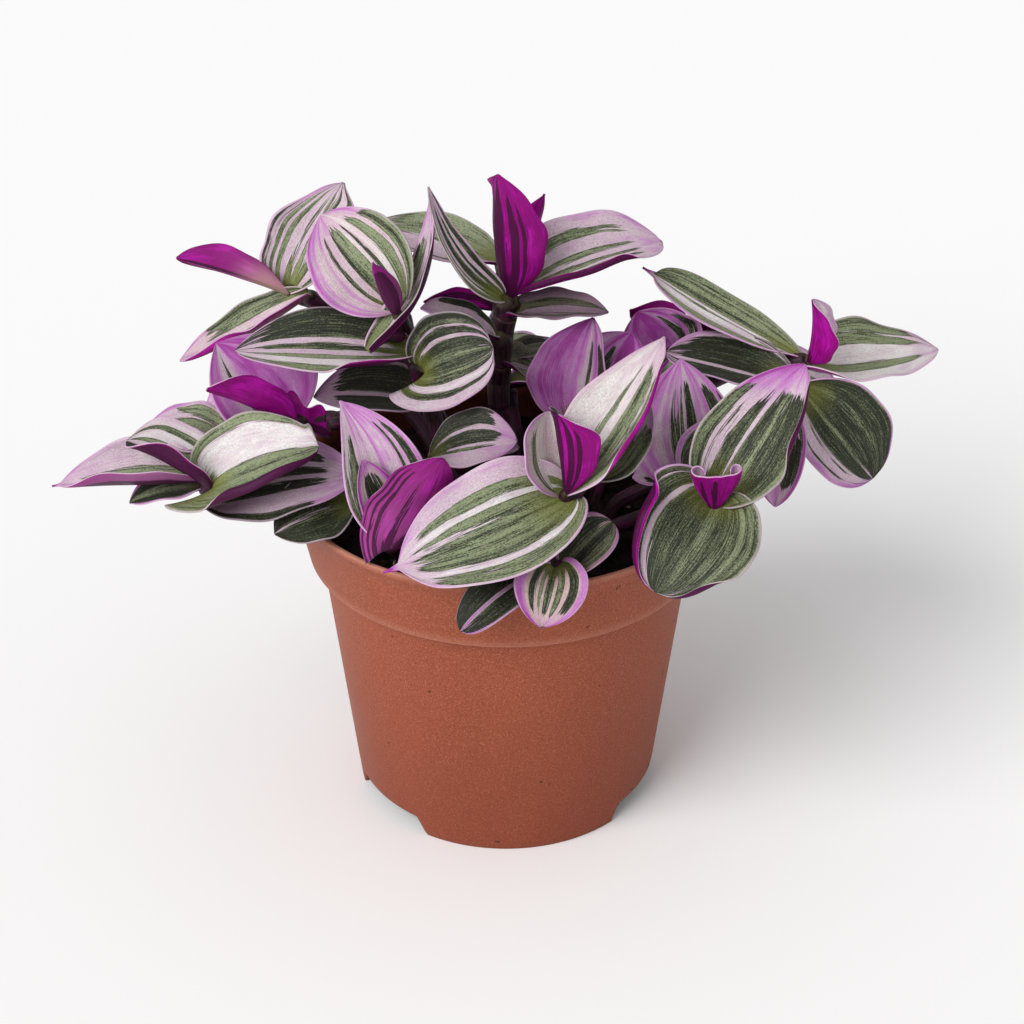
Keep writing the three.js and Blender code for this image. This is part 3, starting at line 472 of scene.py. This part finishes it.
def add_tube(body, line, radius, seed, around=18, leafy=0.0):
    """A ring of points round each point of a line, at its radius, with a point at both ends to close it."""
    tangent = unit(np.gradient(line, axis=0))
    across = unit(np.cross(tangent, ACROSS_STEMS))
    above = np.cross(across, tangent)
    angle = np.linspace(0, 2 * np.pi, around, endpoint=False)
    ring = across[:, None] * np.cos(angle)[None, :, None] + above[:, None] * np.sin(angle)[None, :, None]
    points = line[:, None] + ring * np.broadcast_to(radius, len(line))[:, None, None]
    length = np.concatenate([[0], np.cumsum(np.linalg.norm(np.diff(line, axis=0), axis=1))])
    grain = np.stack(np.broadcast_arrays(angle[None, :] * 2.2 + seed * 11.7, length[:, None], seed * 3.3), -1)
    share = np.broadcast_to((length / length[-1])[:, None], grain.shape[:2])
    place = np.stack([share, share * leafy, 0 * share], -1)
    faces, fans = tube_faces(len(line), around)
    grain_ends = [[0, 0, seed * 3.3]] * 2
    values = dict(grain=np.concatenate([grain.reshape(-1, 3), grain_ends]), bands=np.zeros(3),
                  place=np.concatenate([place.reshape(-1, 3), place[[0, -1], 0]]))
    body.add(np.concatenate([points.reshape(-1, 3), line[[0, -1]]]), faces, fans, values, material=2)


def add_stem(body, stem, seed):
    """A rod straight up out of the soil and through its bends, thicker where leaves sit, and the sheaths."""
    (x, y), *bends = stem["path"]
    ends = [(x, y, SOIL_TOP - STEM_DEPTH), (x, y, SOIL_TOP + STRAIGHT_ABOVE_SOIL)]
    line = smooth_line(ends + bends, STEM_POINTS)
    share = np.linspace(0, 1, STEM_POINTS)
    rounded_end = np.sqrt(np.clip((1.004 - share) / 0.03, 0, 1))
    radius = stem["thick"] * STEM_RADIUS * (1.02 - 0.15 * share) * rounded_end
    along = np.linspace(0, 1, SHEATH_POINTS)
    for number, one in enumerate(stem["leaves"]):
        foot = np.array(one["foot"], float)
        spot = int(np.linalg.norm(line - foot, axis=1).argmin())
        radius = radius + JOINT_SWELLING * np.exp(-((np.arange(STEM_POINTS) - spot) / 2.2) ** 2)
        reach = unit(np.array(one["tip"], float) - foot)
        knee = line[spot] * 0.6 + foot * 0.4
        corners = [line[max(spot - 10, 0)], line[max(spot - 4, 0)], knee, foot + 0.4 * reach]
        low = stem["thick"] * SHEATH_RADIUS
        high = stem["thick"] * min(2.8, 2.25 + one["width"] / 70)
        size = low + (high - low) * smooth(0, 0.6, along) - (high - 0.5) * smooth(0.55, 1, along)
        add_tube(body, smooth_line(corners, SHEATH_POINTS), size, seed * 13 + number, around=16, leafy=1.0)
    add_tube(body, line, radius, seed)


# %% [markdown]
# ## Colours and the shared effects
# The colours were judged on the object and are given as screen values from 0 to 255, which have to be
# made linear for the shader. Effects that several finishes use are node groups: the streaky grain of plant
# skin, and the cloudy unevenness of matt surfaces.


# %% Node helpers
def colour(red, green, blue):
    """A screen colour from 0 to 255 as a linear colour for the shader."""
    share = np.array([red, green, blue]) / 255
    linear = np.where(share <= 0.04045, share / 12.92, ((share + 0.055) / 1.055) ** 2.4)
    return (*(float(c) for c in linear), 1.0)


class Nodes:
    """Short ways to place and join nodes in one tree."""

    def __init__(self, tree):
        self.tree = tree

    def put(self, kind, settings=None, **inputs):
        """A new node. An input is told by its name, with _ for each space, or by in and its number."""
        node = self.tree.nodes.new("ShaderNode" + kind)
        for key, value in (settings or {}).items():
            setattr(node, key, value)
        self.join_all(node, inputs)
        return node

    def join_all(self, node, inputs):
        for key, value in inputs.items():
            place = int(key[2:]) if key.startswith("in") else key.replace("_", " ")
            self.join(value, node.inputs[place])

    def join(self, value, socket):
        if isinstance(value, bpy.types.NodeSocket):
            self.tree.links.new(value, socket)
        else:
            socket.default_value = value

    def group(self, tree, **inputs):
        return self.put("Group", dict(node_tree=tree), **inputs).outputs

    def point_value(self, name):
        """The vector of that name that each point of the piece carries."""
        return self.put("Attribute", dict(attribute_name=name, attribute_type="GEOMETRY")).outputs["Vector"]

    def split(self, vector):
        return self.put("SeparateXYZ", in0=vector).outputs

    def plus(self, first, second):
        return self.put("Math", dict(operation="ADD"), in0=first, in1=second).outputs[0]

    def times(self, first, second):
        return self.put("Math", dict(operation="MULTIPLY"), in0=first, in1=second).outputs[0]

    def weighed(self, total, *parts):
        """The first value plus each further value times its weight."""
        for value, weight in parts:
            total = self.plus(total, self.times(value, weight))
        return total

    def noise(self, vector, factors, detail, rough):
        """Noise read at the vector times its three factors."""
        where = self.put("VectorMath", dict(operation="MULTIPLY"), in0=vector, in1=factors).outputs[0]
        return self.put("TexNoise", Vector=where, Scale=1, Detail=detail, Roughness=rough).outputs["Fac"]

    def span(self, value, low, high, to_low=0.0, to_high=1.0, even=True):
        """The value's place from low to high, told from to_low to to_high; even gives it an S shape."""
        kind = dict(interpolation_type="SMOOTHSTEP" if even else "LINEAR")
        return self.put("MapRange", kind, Value=value, From_Min=low, From_Max=high, To_Min=to_low,
                        To_Max=to_high).outputs[0]

    def mix(self, share, first, second, blend="MIX"):
        kind = dict(data_type="RGBA", blend_type=blend)
        return self.put("Mix", kind, in0=share, in6=first, in7=second).outputs[2]

    def layers(self, base, *coats):
        """The base colour with each coat, which is a share and a colour, laid over it in turn."""
        for share, *coat in coats:
            base = self.mix(share, base, *coat)
        return base


def new_group(name, inputs, outputs):
    """An empty shader node group with those named sockets, its nodes, and its two ends."""
    tree = bpy.data.node_groups.new(name, "ShaderNodeTree")
    for in_out, sockets in (("INPUT", inputs), ("OUTPUT", outputs)):
        for title, kind in sockets:
            tree.interface.new_socket(title, in_out=in_out, socket_type="NodeSocket" + kind)
    return Nodes(tree), tree.nodes.new("NodeGroupInput").outputs, tree.nodes.new("NodeGroupOutput").inputs


def noise_group(name, vector, **noises):
    """A node group that reads several noises at one vector, each with its factors, detail and roughness."""
    nodes, inputs, outputs = new_group(name, [(vector, "Vector")], [(title, "Float") for title in noises])
    for title, (factors, detail, rough) in noises.items():
        nodes.join(nodes.noise(inputs[0], factors, detail, rough), outputs[title])
    print(name, "noises:", len(noises))
    return nodes.tree


def new_material(name, **plain):
    """A material, its nodes, and its Principled shader, whose plain values are set on its own sockets."""
    material = bpy.data.materials.new(name)
    material.use_nodes = True
    nodes = Nodes(material.node_tree)
    shader = material.node_tree.nodes["Principled BSDF"]
    nodes.join_all(shader, plain)
    return material, nodes, shader


def dress(nodes, shader, base, roughness, height, strength, distance):
    """Joins a colour, a roughness and a height, which becomes small bumps, to the Principled shader."""
    bump = nodes.put("Bump", Strength=strength, Distance=distance, Height=height)
    nodes.join_all(shader, dict(Base_Color=base, Roughness=roughness, Normal=bump.outputs[0]))


# %% Skin grain group
skin_streaks = noise_group(
    "Skin streaks", "Grain",
    Broad=((1, 0.04, 1), 3, 0.65), Fine=((3, 0.12, 1), 2, 0.65),
    Cells=((3.4, 1.9, 1), 3, 0.75), Blotch=((0.28, 0.12, 1), 3, 0.6))

# %% [markdown]
# ## Leaf skin
# The stripes of this plant run from base to tip, between veins, with feathered ends. Each leaf carries its
# own broad bands as point values; the streaky grain frays their edges and lets them run out in points near
# the tip. The upper side goes from cream through pink to lilac at the margin, and the green goes from grey
# to nearly black. The underside is purple all over, dark where the green lies above it.

# %% Leaf markings group
WHITE = colour(240, 236, 234)
PINK = colour(222, 198, 212)
CREAM = colour(206, 178, 152)
LILAC = colour(208, 134, 206)
VIOLET = colour(180, 66, 172)
SAGE = colour(147, 157, 122)
GREY_GREEN = colour(95, 106, 76)
DARK_GREEN = colour(43, 47, 34)
BASE_GREEN = colour(124, 130, 44)
# SHADED is the colour of painted shade, multiplied over the upper side of leaves that lie in shadow
SHADED = colour(128, 110, 122)
MAGENTA = colour(136, 0, 112)
BRIGHT_MAGENTA = colour(178, 14, 160)
MAUVE = colour(148, 92, 134)
DEEP_PURPLE = colour(58, 6, 46)
GREYED = colour(96, 84, 88)

leaf_nodes, leaf_in, leaf_out = new_group(
    "Leaf markings", [("Bands", "Vector"), ("Grain", "Vector"), ("Place", "Vector"), ("Tone", "Vector")],
    [("Upper", "Color"), ("Under", "Color"), ("Height", "Float"), ("Gloss", "Float")])
streaks = leaf_nodes.group(skin_streaks, Grain=leaf_in["Grain"])
bands, place, tone = (leaf_nodes.split(leaf_in[title]) for title in ("Bands", "Place", "Tone"))
plus, times, weighed = leaf_nodes.plus, leaf_nodes.times, leaf_nodes.weighed
span, mix, layers = leaf_nodes.span, leaf_nodes.mix, leaf_nodes.layers
broad = span(streaks["Broad"], 0.25, 0.75, -0.6, 0.6, even=False)
fine = span(streaks["Fine"], 0.25, 0.75, -0.5, 0.5, even=False)
cells = span(streaks["Cells"], 0.3, 0.7, -0.5, 0.5, even=False)
blotch = span(streaks["Blotch"], 0.3, 0.7, -0.6, 0.6, even=False)

level = weighed(bands[0], (broad, 0.65), (fine, 0.42), (cells, 0.12))
green = span(level, 0.44, 0.56)
inside = span(level, 0.5, 0.95)
lilac = weighed(bands[1], (blotch, 0.55), (fine, 0.5), (cells, 0.6))
light = weighed(inside, (fine, 0.7), (broad, 0.5), (cells, 0.7))
dark = weighed(bands[2], (inside, -0.25), (fine, -0.8), (cells, -0.6))

pale = mix(span(lilac, -0.4, 0.2), WHITE, PINK)
pale = layers(
    pale,
    (tone[2], mix(0.6, pale, CREAM)),
    (span(lilac, 0.4, 1.2), LILAC),
    (span(lilac, 1.3, 2.1), VIOLET))
leafy = layers(
    GREY_GREEN,
    (span(light, 0.1, 1.1), SAGE),
    (span(dark, -0.15, 0.8), DARK_GREEN),
    (span(place[0], 0, 0.36, 0.7, 0), BASE_GREEN))
upper = layers(
    pale,
    (green, leafy),
    (span(place[0], 0, 0.1, 0.4, 0), BASE_GREEN),
    (span(cells, -0.4, 0.3, 0.4, 0), GREYED, "MULTIPLY"),
    (span(place[1], 0.955, 0.985, 0, 0.5), PINK),
    # painted shade: the upper side of a leaf that lies in shadow is darkened by its shade share
    (tone[0], SHADED, "MULTIPLY"))
under = layers(
    MAGENTA,
    (span(plus(fine, blotch), -0.1, 0.8), BRIGHT_MAGENTA),
    (times(tone[1], span(place[2], 0.2, 0.9, 1.2, 0.3)), MAUVE),
    (times(green, 0.9), DEEP_PURPLE),
    (span(place[0], 0, 0.2, 0.5, 0), DEEP_PURPLE),
    (times(tone[2], span(place[0], 0.2, 0.6, 0.8, 0)), CREAM))
height = weighed(times(streaks["Fine"], 0.6), (streaks["Cells"], 0.35), (green, 0.2))
gloss = span(streaks["Blotch"], 0.3, 0.7, 0.4, 0.56)
for title, value in dict(Upper=upper, Under=under, Height=height, Gloss=gloss).items():
    leaf_nodes.join(value, leaf_out[title])
print("leaf marking nodes:", len(leaf_nodes.tree.nodes))


# %% Leaf and stem materials
def leaf_material(name, side, specular):
    """One side of the leaf markings, at the values that the points of the leaf carry."""
    material, nodes, shader = new_material(name, Specular_IOR_Level=specular)
    values = {title: nodes.point_value(title.lower()) for title in ("Bands", "Grain", "Place", "Tone")}
    marks = nodes.group(leaf_nodes.tree, **values)
    dress(nodes, shader, marks[side], marks["Gloss"], marks["Height"], 0.55, 0.0006)
    return material


leaf_upper = leaf_material("leaf_upper", "Upper", 0.25)
leaf_under = leaf_material("leaf_under", "Under", 0.16)

stem_skin, stem_nodes, stem_shader = new_material("stem_skin", Specular_IOR_Level=0.25)
span = stem_nodes.span
streaks = stem_nodes.group(skin_streaks, Grain=stem_nodes.point_value("grain"))
sheath_share = stem_nodes.split(stem_nodes.point_value("place"))[1]
stem_colour = stem_nodes.layers(
    colour(30, 10, 22),
    (span(streaks["Broad"], 0.35, 0.62), colour(64, 36, 50)),
    (span(streaks["Fine"], 0.5, 0.7), colour(60, 50, 38)),
    (span(streaks["Blotch"], 0.5, 0.7, 0, 0.7), colour(104, 20, 80)),
    (span(sheath_share, 0.75, 1, 0, 0.35), BASE_GREEN))
stem_rough = span(streaks["Cells"], 0.3, 0.7, 0.36, 0.55)
dress(stem_nodes, stem_shader, stem_colour, stem_rough, streaks["Fine"], 0.4, 0.0005)

# %% [markdown]
# ## The leafy stems
# Each stem with its leaves is one grown piece, so it is one mesh: the rod, the sheaths and the blades. It
# takes the place of the plain solid of the same name.

# %% Leafy stems
for index, (name, stem) in enumerate(STEMS.items()):
    plant_body = Body()
    add_stem(plant_body, stem, index + 1)
    for number, one in enumerate(stem["leaves"]):
        add_blade(plant_body, one, index * 10 + number + 1)
    plant_body.finish(name + "_leafy", [leaf_upper, leaf_under, stem_skin], name)

# %% [markdown]
# ## The pot
# A nursery pot is one thin moulded wall: a tapering cup, a wider collar above a step, a small rounded rim,
# and a foot ring with three raised cut-outs that let water out. The wall is one closed profile turned round
# the axis. Near the base its height follows the cut-outs, which is why it is a grid and not a plain turned
# shape.

# %% Pot sizes
RIM_RADIUS = 60
POT_HEIGHT = 98.5
COLLAR_FOOT_RADIUS = 55.7
COLLAR_FOOT_HEIGHT = 77.3
WALL_TOP_RADIUS = 52.2
BASE_RADIUS = 43.2
WALL = 1.2
FLOOR_UNDERSIDE = 6
FLOOR_THICKNESS = 1.4
FRONT_FOOT_ANGLE = 6.5
CUTOUT_ANGLE = 42
CUTOUT_HEIGHT = 5.2
CUTOUT_SLOPE = 2.6
DRAIN_RADIUS = 3.6
DRAIN_CIRCLE = 30
POT_COLUMNS = 288
PROFILE_STEP = 2.5


# %% Pot wall
def fill_line(corners, step):
    """Points along a broken line, about a step apart, with the corners kept."""
    parts = []
    for start, end in zip(corners[:-1], corners[1:]):
        count = max(int(math.dist(start, end) / step), 1)
        share = np.linspace(0, 1, count, endpoint=False)[:, None]
        parts.append(np.array(start) * (1 - share) + np.array(end) * share)
    return np.concatenate(parts + [np.array([corners[-1]])])


def arc(centre, radius, start, end, count):
    """Points on a circle arc from start to end, in degrees."""
    turn = np.radians(np.linspace(start, end, count))
    return [(centre[0] + radius * math.cos(a), centre[1] + radius * math.sin(a)) for a in turn]


def foot_height(angle):
    """Height of the wall's lower edge: 0 on the feet, and up to the cut-out's height over a short slope."""
    half = BASE_RADIUS * math.sin(math.radians(CUTOUT_ANGLE / 2))
    height = np.zeros_like(angle)
    for turn in (60, 180, 300):
        offset = (angle - math.radians(FRONT_FOOT_ANGLE + turn) + np.pi) % (2 * np.pi) - np.pi
        inside = half - np.abs(BASE_RADIUS * np.sin(offset))
        rise = 1 + (CUTOUT_HEIGHT - 1) * np.clip(inside / CUTOUT_SLOPE, 0, 1)
        height = np.where((inside > 0) & (np.abs(offset) < 1), rise, height)
    return height


def turned_points(profile, columns):
    """Each profile point (radius, height) turned round the axis; the angle is counted from the front."""
    angle = np.linspace(0, 2 * np.pi, columns, endpoint=False)
    radius, height = profile[:, :1], profile[:, 1:]
    x, y = radius * np.sin(angle), -radius * np.cos(angle)
    return np.stack([x, y, height + 0 * angle], -1), angle


def gauss(value, middle, width):
    """1 at the middle and exp(-1) at that width from it."""
    return np.exp(-((value - middle) / width) ** 2)


slope = (WALL_TOP_RADIUS - BASE_RADIUS) / COLLAR_FOOT_HEIGHT
collar_slope = (RIM_RADIUS - COLLAR_FOOT_RADIUS) / (POT_HEIGHT - COLLAR_FOOT_HEIGHT)
ledge = COLLAR_FOOT_HEIGHT + WALL
outer_line = [
    (BASE_RADIUS - 0.25, 0), (BASE_RADIUS, 0.3), (BASE_RADIUS + slope * 8, 8),
    (WALL_TOP_RADIUS - 0.1, COLLAR_FOOT_HEIGHT - 0.8),
    *arc((WALL_TOP_RADIUS + 0.7, COLLAR_FOOT_HEIGHT - 0.7), 0.7, 180, 100, 4),
    *arc((COLLAR_FOOT_RADIUS - 0.6, COLLAR_FOOT_HEIGHT + 0.6), 0.6, -90, 0, 5),
    (RIM_RADIUS - 0.45, POT_HEIGHT - 2.4), (RIM_RADIUS - 0.02, POT_HEIGHT - 2),
    *arc((RIM_RADIUS - 0.6, POT_HEIGHT - 0.6), 0.6, 0, 90, 6)]
inner_line = [
    *arc((RIM_RADIUS - 1, POT_HEIGHT - 0.4), 0.4, 90, 180, 4),
    (COLLAR_FOOT_RADIUS + collar_slope * WALL - WALL, ledge), (BASE_RADIUS + slope * ledge - WALL, ledge),
    (BASE_RADIUS + slope * FLOOR_UNDERSIDE - WALL, FLOOR_UNDERSIDE), (BASE_RADIUS - WALL, 0)]
wall_profile = fill_line(outer_line + inner_line, PROFILE_STEP)
wall_rows = len(wall_profile)
wall_points, wall_angle = turned_points(wall_profile, POT_COLUMNS)
lift_share = np.clip(1 - wall_points[..., 2] / FLOOR_UNDERSIDE, 0, 1)
wall_points[..., 2] += foot_height(wall_angle) * lift_share
wall_x, wall_y, wall_z = np.moveaxis(wall_points, -1, 0)
wall_radius = np.hypot(wall_x, wall_y)
collar_edge = gauss(wall_radius, COLLAR_FOOT_RADIUS, 0.4) * gauss(wall_z, COLLAR_FOOT_HEIGHT, 0.7)
# lighter rim top and collar edge: partly wear, partly a painted highlight on the rounded edges
edge_wear_and_highlight = gauss(wall_z, POT_HEIGHT, 0.7) + 0.7 * collar_edge
turned_in = np.arange(wall_rows)[:, None] >= len(fill_line(outer_line, PROFILE_STEP))
# painted shade: the inner wall is darkened from the rim down, as shade falls inside the pot
inner_wall_shade = turned_in * np.clip((POT_HEIGHT - 1 - wall_z) / 4, 0, 1)
# the pot's point values: the lighter edges, partly wear and partly painted highlight, and the painted shade
# inside
wear = np.stack([edge_wear_and_highlight, inner_wall_shade, 0 * edge_wear_and_highlight], -1).reshape(-1, 3)
print("wall profile points:", wall_rows)


# %% Pot floor
def add_floor(body):
    """Six wedges of the floor, each a fan of lines from its drain hole out to the wedge's own outline."""
    turn = np.linspace(0, 2 * np.pi, 96, endpoint=False)
    reach = BASE_RADIUS - WALL + 0.6
    away, aside = np.cos(turn), np.sin(turn)
    far = -DRAIN_CIRCLE * away + np.sqrt(reach**2 - (DRAIN_CIRCLE * aside) ** 2)
    half_wedge = math.pi / 6
    for which in (1, -1):
        across = which * (math.cos(half_wedge) * aside - math.sin(half_wedge) * away)
        edge_far = DRAIN_CIRCLE * math.sin(half_wedge) / np.maximum(across, 1e-9)
        far = np.where(across > 1e-6, np.minimum(far, edge_far), far)
    share = np.array([0, 0.12, 0.5, 1])[:, None]
    radius = DRAIN_RADIUS * (1 - share) + far * share
    flat = np.array([DRAIN_CIRCLE, 0]) + np.stack([radius * away, radius * aside], -1)
    for wedge in range(6):
        angle = math.radians(FRONT_FOOT_ANGLE + 60 * wedge - 90)
        spin = np.array([[math.cos(angle), -math.sin(angle)], [math.sin(angle), math.cos(angle)]])
        ring = flat @ spin.T
        top = np.concatenate([ring, np.full((*ring.shape[:2], 1), FLOOR_UNDERSIDE + FLOOR_THICKNESS)], -1)
        bottom = top - (0, 0, FLOOR_THICKNESS)
        body.add(np.concatenate([top, bottom[::-1]]), ring_faces(2 * len(share), len(turn))[:, ::-1])


# %% Pot material
clouding = noise_group(
    "Clouding", "Where", Cloud=((22, 22, 14), 4, 0.6), Speckle=((2100, 2100, 2100), 2, 0.7),
    Pits=((260, 260, 260), 2, 0.6))

pot_plastic, pot_nodes, pot_shader = new_material("pot_plastic", Specular_IOR_Level=0.16)
span, times = pot_nodes.span, pot_nodes.times
where = pot_nodes.put("TexCoord").outputs["Object"]
cloud = pot_nodes.group(clouding, Where=where)
wear_and_light = pot_nodes.split(pot_nodes.point_value("wear"))
pot_colour = pot_nodes.layers(
    colour(142, 72, 49),
    (span(cloud["Cloud"], 0.3, 0.7), colour(152, 79, 56)),
    (span(cloud["Speckle"], 0.5, 0.72, 0, 0.55), colour(186, 118, 92)),
    (span(cloud["Speckle"], 0.3, 0.48, 0.5, 0), colour(104, 50, 34)),
    # painted shade: the wall darkens towards its foot, standing in for light that does not reach it from below
    (span(pot_nodes.split(where)[2], 0, 0.085, 0.42, 0), colour(110, 46, 30)),
    (span(cloud["Pits"], 0.24, 0.29, 0.8, 0), colour(66, 34, 26)),
    # painted shade on the inner wall below the rim
    (times(wear_and_light[1], 0.8), colour(46, 24, 18)),
    # lighter edges: partly wear, partly a painted highlight
    (times(wear_and_light[0], 0.45), colour(214, 160, 138)))
pot_rough = span(cloud["Cloud"], 0.3, 0.7, 0.46, 0.6)
dress(pot_nodes, pot_shader, pot_colour, pot_rough, cloud["Speckle"], 0.25, 0.0003)

# %% Pot piece
pot_body = Body()
pot_body.add(wall_points, ring_faces(wall_rows, POT_COLUMNS), values=dict(wear=wear))
add_floor(pot_body)
pot_body.finish("nursery_pot", [pot_plastic], "pot")

# %% [markdown]
# ## The soil
# Potting soil is a dark mix of crumbs and fibres with a few pale bits of bark and perlite. Its top is a sum
# of waves in many directions, coarse to fine, and loose crumbs are strewn over it, half sunk in.

# %% Soil surface
SOIL_COLUMNS = 220
SOIL_ROWS = 84
SOIL_BOTTOM = 7.8
SOIL_GAP = 0.4
WAVES = 90
soil_chance = np.random.default_rng(7)
wave_turn = soil_chance.uniform(0, 2 * np.pi, WAVES)
wave_length = 14 * soil_chance.uniform(0.12, 1, WAVES) ** 1.5 + 1.2
wave_phase = soil_chance.uniform(0, 2 * np.pi, WAVES)


def soil_height(x, y):
    """The solid's own broad lumps plus many sine waves, each with a height in step with its length."""
    broad = np.sin(x * 0.21 + 1.3) * np.cos(y * 0.17 + 0.4)
    lumps = np.sin(x * 0.53 - y * 0.31) * np.cos(y * 0.47 + x * 0.12)
    along = x[..., None] * np.cos(wave_turn) + y[..., None] * np.sin(wave_turn)
    waves = (np.sin(2 * np.pi * along / wave_length + wave_phase) * wave_length * 0.011).sum(-1)
    return 1.1 * (broad + 0.7 * lumps) + waves


outer = COLLAR_FOOT_RADIUS + collar_slope * (SOIL_TOP - COLLAR_FOOT_HEIGHT) - WALL - SOIL_GAP / 2
low_wall = BASE_RADIUS + slope * 8 - WALL - SOIL_GAP
high_wall = BASE_RADIUS + slope * ledge - WALL - SOIL_GAP
above_ledge = ledge + SOIL_GAP
soil_profile = np.array([
    *((radius, SOIL_TOP) for radius in np.linspace(0.3, outer, SOIL_ROWS)), (outer - 1.4, above_ledge),
    (high_wall, above_ledge), (high_wall, ledge - 1), (low_wall, SOIL_BOTTOM), (0.3, SOIL_BOTTOM)])
soil_points, _ = turned_points(soil_profile, SOIL_COLUMNS)
on_top = np.arange(len(soil_profile)) < SOIL_ROWS
settle = np.where(on_top, smooth(outer, outer - 3, soil_profile[:, 0]), 0)[:, None]
soil_points[..., 2] += settle * soil_height(soil_points[..., 0], soil_points[..., 1])
centres = [[0, 0, soil_points[0, :, 2].mean()], [0, 0, SOIL_BOTTOM]]
print("soil points:", soil_points.size // 3)


# %% Crumbs
CRUMB_ROWS = 6
CRUMB_COLUMNS = 8


def add_crumbs(body, count, low, high, pale, seed):
    """Lumps from a small ball of points, each squashed, turned and dented by chance, set on the soil."""
    chance = np.random.default_rng(seed)
    radius = np.sqrt(chance.uniform(0, 1, count)) * (outer - 2.5)
    angle = chance.uniform(0, 2 * np.pi, count)
    x, y = radius * np.sin(angle), -radius * np.cos(angle)
    size = chance.uniform(low, high, (count, 3)) * (1, 1, 0.7)
    polar = np.linspace(0.12, np.pi - 0.12, CRUMB_ROWS)[:, None]
    turn = np.linspace(0, 2 * np.pi, CRUMB_COLUMNS, endpoint=False)[None, :]
    level_ring = np.stack(np.broadcast_arrays(np.cos(turn), np.sin(turn), 1), -1)
    ball = level_ring * np.stack([np.sin(polar), np.sin(polar), np.cos(polar)], -1)
    ball = np.concatenate([ball.reshape(-1, 3), [[0, 0, 1], [0, 0, -1]]])
    shapes = ball[None] * size[:, None] * chance.uniform(0.7, 1.2, (count, len(ball), 1))
    spin = chance.uniform(0, 2 * np.pi, count)[:, None]
    tilt = chance.uniform(-0.6, 0.6, count)[:, None]
    sx = shapes[..., 0] * np.cos(spin) - shapes[..., 1] * np.sin(spin)
    sy = shapes[..., 0] * np.sin(spin) + shapes[..., 1] * np.cos(spin)
    sz = shapes[..., 2] * np.cos(tilt) + sx * np.sin(tilt)
    level = SOIL_TOP + soil_height(x, y) + size[:, 2] * 0.3
    points = np.stack([sx + x[:, None], sy + y[:, None], sz + level[:, None]], -1)
    faces, fans = tube_faces(CRUMB_ROWS, CRUMB_COLUMNS)
    shift = (np.arange(count) * len(ball))[:, None, None]
    tone = np.zeros(points.shape)
    tone[..., 0] = pale
    tone[..., 1] = chance.uniform(0, 1, count)[:, None]
    body.add(points, (faces + shift).reshape(-1, 4), (fans + shift).reshape(-1, 3),
             dict(tone=tone.reshape(-1, 3)))


# %% Soil material
soil_earth, soil_nodes, soil_shader = new_material("potting_soil", Specular_IOR_Level=0.1)
span = soil_nodes.span
cloud = soil_nodes.group(clouding, Where=soil_nodes.put("TexCoord").outputs["Object"])
crumb_tone = soil_nodes.split(soil_nodes.point_value("tone"))
soil_colour = soil_nodes.layers(
    colour(14, 10, 9),
    (span(cloud["Pits"], 0.35, 0.65), colour(36, 26, 21)),
    (span(cloud["Speckle"], 0.6, 0.72, 0, 0.45), colour(70, 52, 40)),
    (soil_nodes.times(crumb_tone[1], 0.3), colour(56, 38, 28)),
    (crumb_tone[0], colour(176, 152, 138)))
soil_rough = span(cloud["Cloud"], 0.3, 0.7, 0.75, 0.95)
dress(soil_nodes, soil_shader, soil_colour, soil_rough, cloud["Pits"], 0.6, 0.0012)

# %% Soil piece
soil_body = Body()
soil_faces, soil_fans = tube_faces(len(soil_profile), SOIL_COLUMNS)
soil_body.add(np.concatenate([soil_points.reshape(-1, 3), centres]), soil_faces, soil_fans,
              dict(tone=np.zeros(3)))
add_crumbs(soil_body, 520, 0.5, 1.5, 0, seed=11)
add_crumbs(soil_body, 46, 0.5, 1.2, 0.8, seed=12)
soil_body.finish("potting_soil", [soil_earth], "soil")

# %% [markdown]
# ## Floor, light and camera
# The plant stands on a plain pale floor in soft light from above and the left, as in a studio. The camera
# looks down by about thirty degrees through a long lens.

# %% Floor
FLOOR_REACH = 30
corners = [(x * FLOOR_REACH, y * FLOOR_REACH, 0) for x, y in ((-1, -1), (1, -1), (1, 1), (-1, 1))]
floor_mesh = bpy.data.meshes.new("floor")
floor_mesh.from_pydata(corners, [], [(0, 1, 2, 3)])
floor = add_object("floor", floor_mesh)
floor_paint, _, _ = new_material("floor_paint", Base_Color=(0.96, 0.96, 0.96, 1), Roughness=0.9)
floor_mesh.materials.append(floor_paint)

# %% Light
SKY_STRENGTH = 0.56
KEY_DIRECTION = (-0.8, -0.8, 0.85)
KEY_STRENGTH = 2.35
KEY_SPREAD = 40
world = bpy.data.worlds.new("studio")
bpy.context.scene.world = world
world.use_nodes = True
sky = world.node_tree.nodes["Background"].inputs
sky["Color"].default_value = (1, 1, 1, 1)
sky["Strength"].default_value = SKY_STRENGTH
key_lamp = bpy.data.lights.new("key_light", "SUN")
key_lamp.energy = KEY_STRENGTH
key_lamp.angle = math.radians(KEY_SPREAD)
add_object("key_light", key_lamp).rotation_euler = Vector(KEY_DIRECTION).to_track_quat("Z", "Y").to_euler()

# %% Camera
CAMERA_BACK = 0.54575
CAMERA_UP = 0.40806
LOOKING_DOWN = 30.55
camera_data = bpy.data.cameras.new("camera")
camera_data.lens = 79.1
camera_data.sensor_width = 36
camera_data.shift_x = 0.006
camera = add_object("camera", camera_data)
camera.location = (0, -CAMERA_BACK, CAMERA_UP)
camera.rotation_euler = (math.radians(90 - LOOKING_DOWN), 0, 0)
bpy.context.scene.camera = camera
bpy.context.scene.view_settings.view_transform = "Standard"
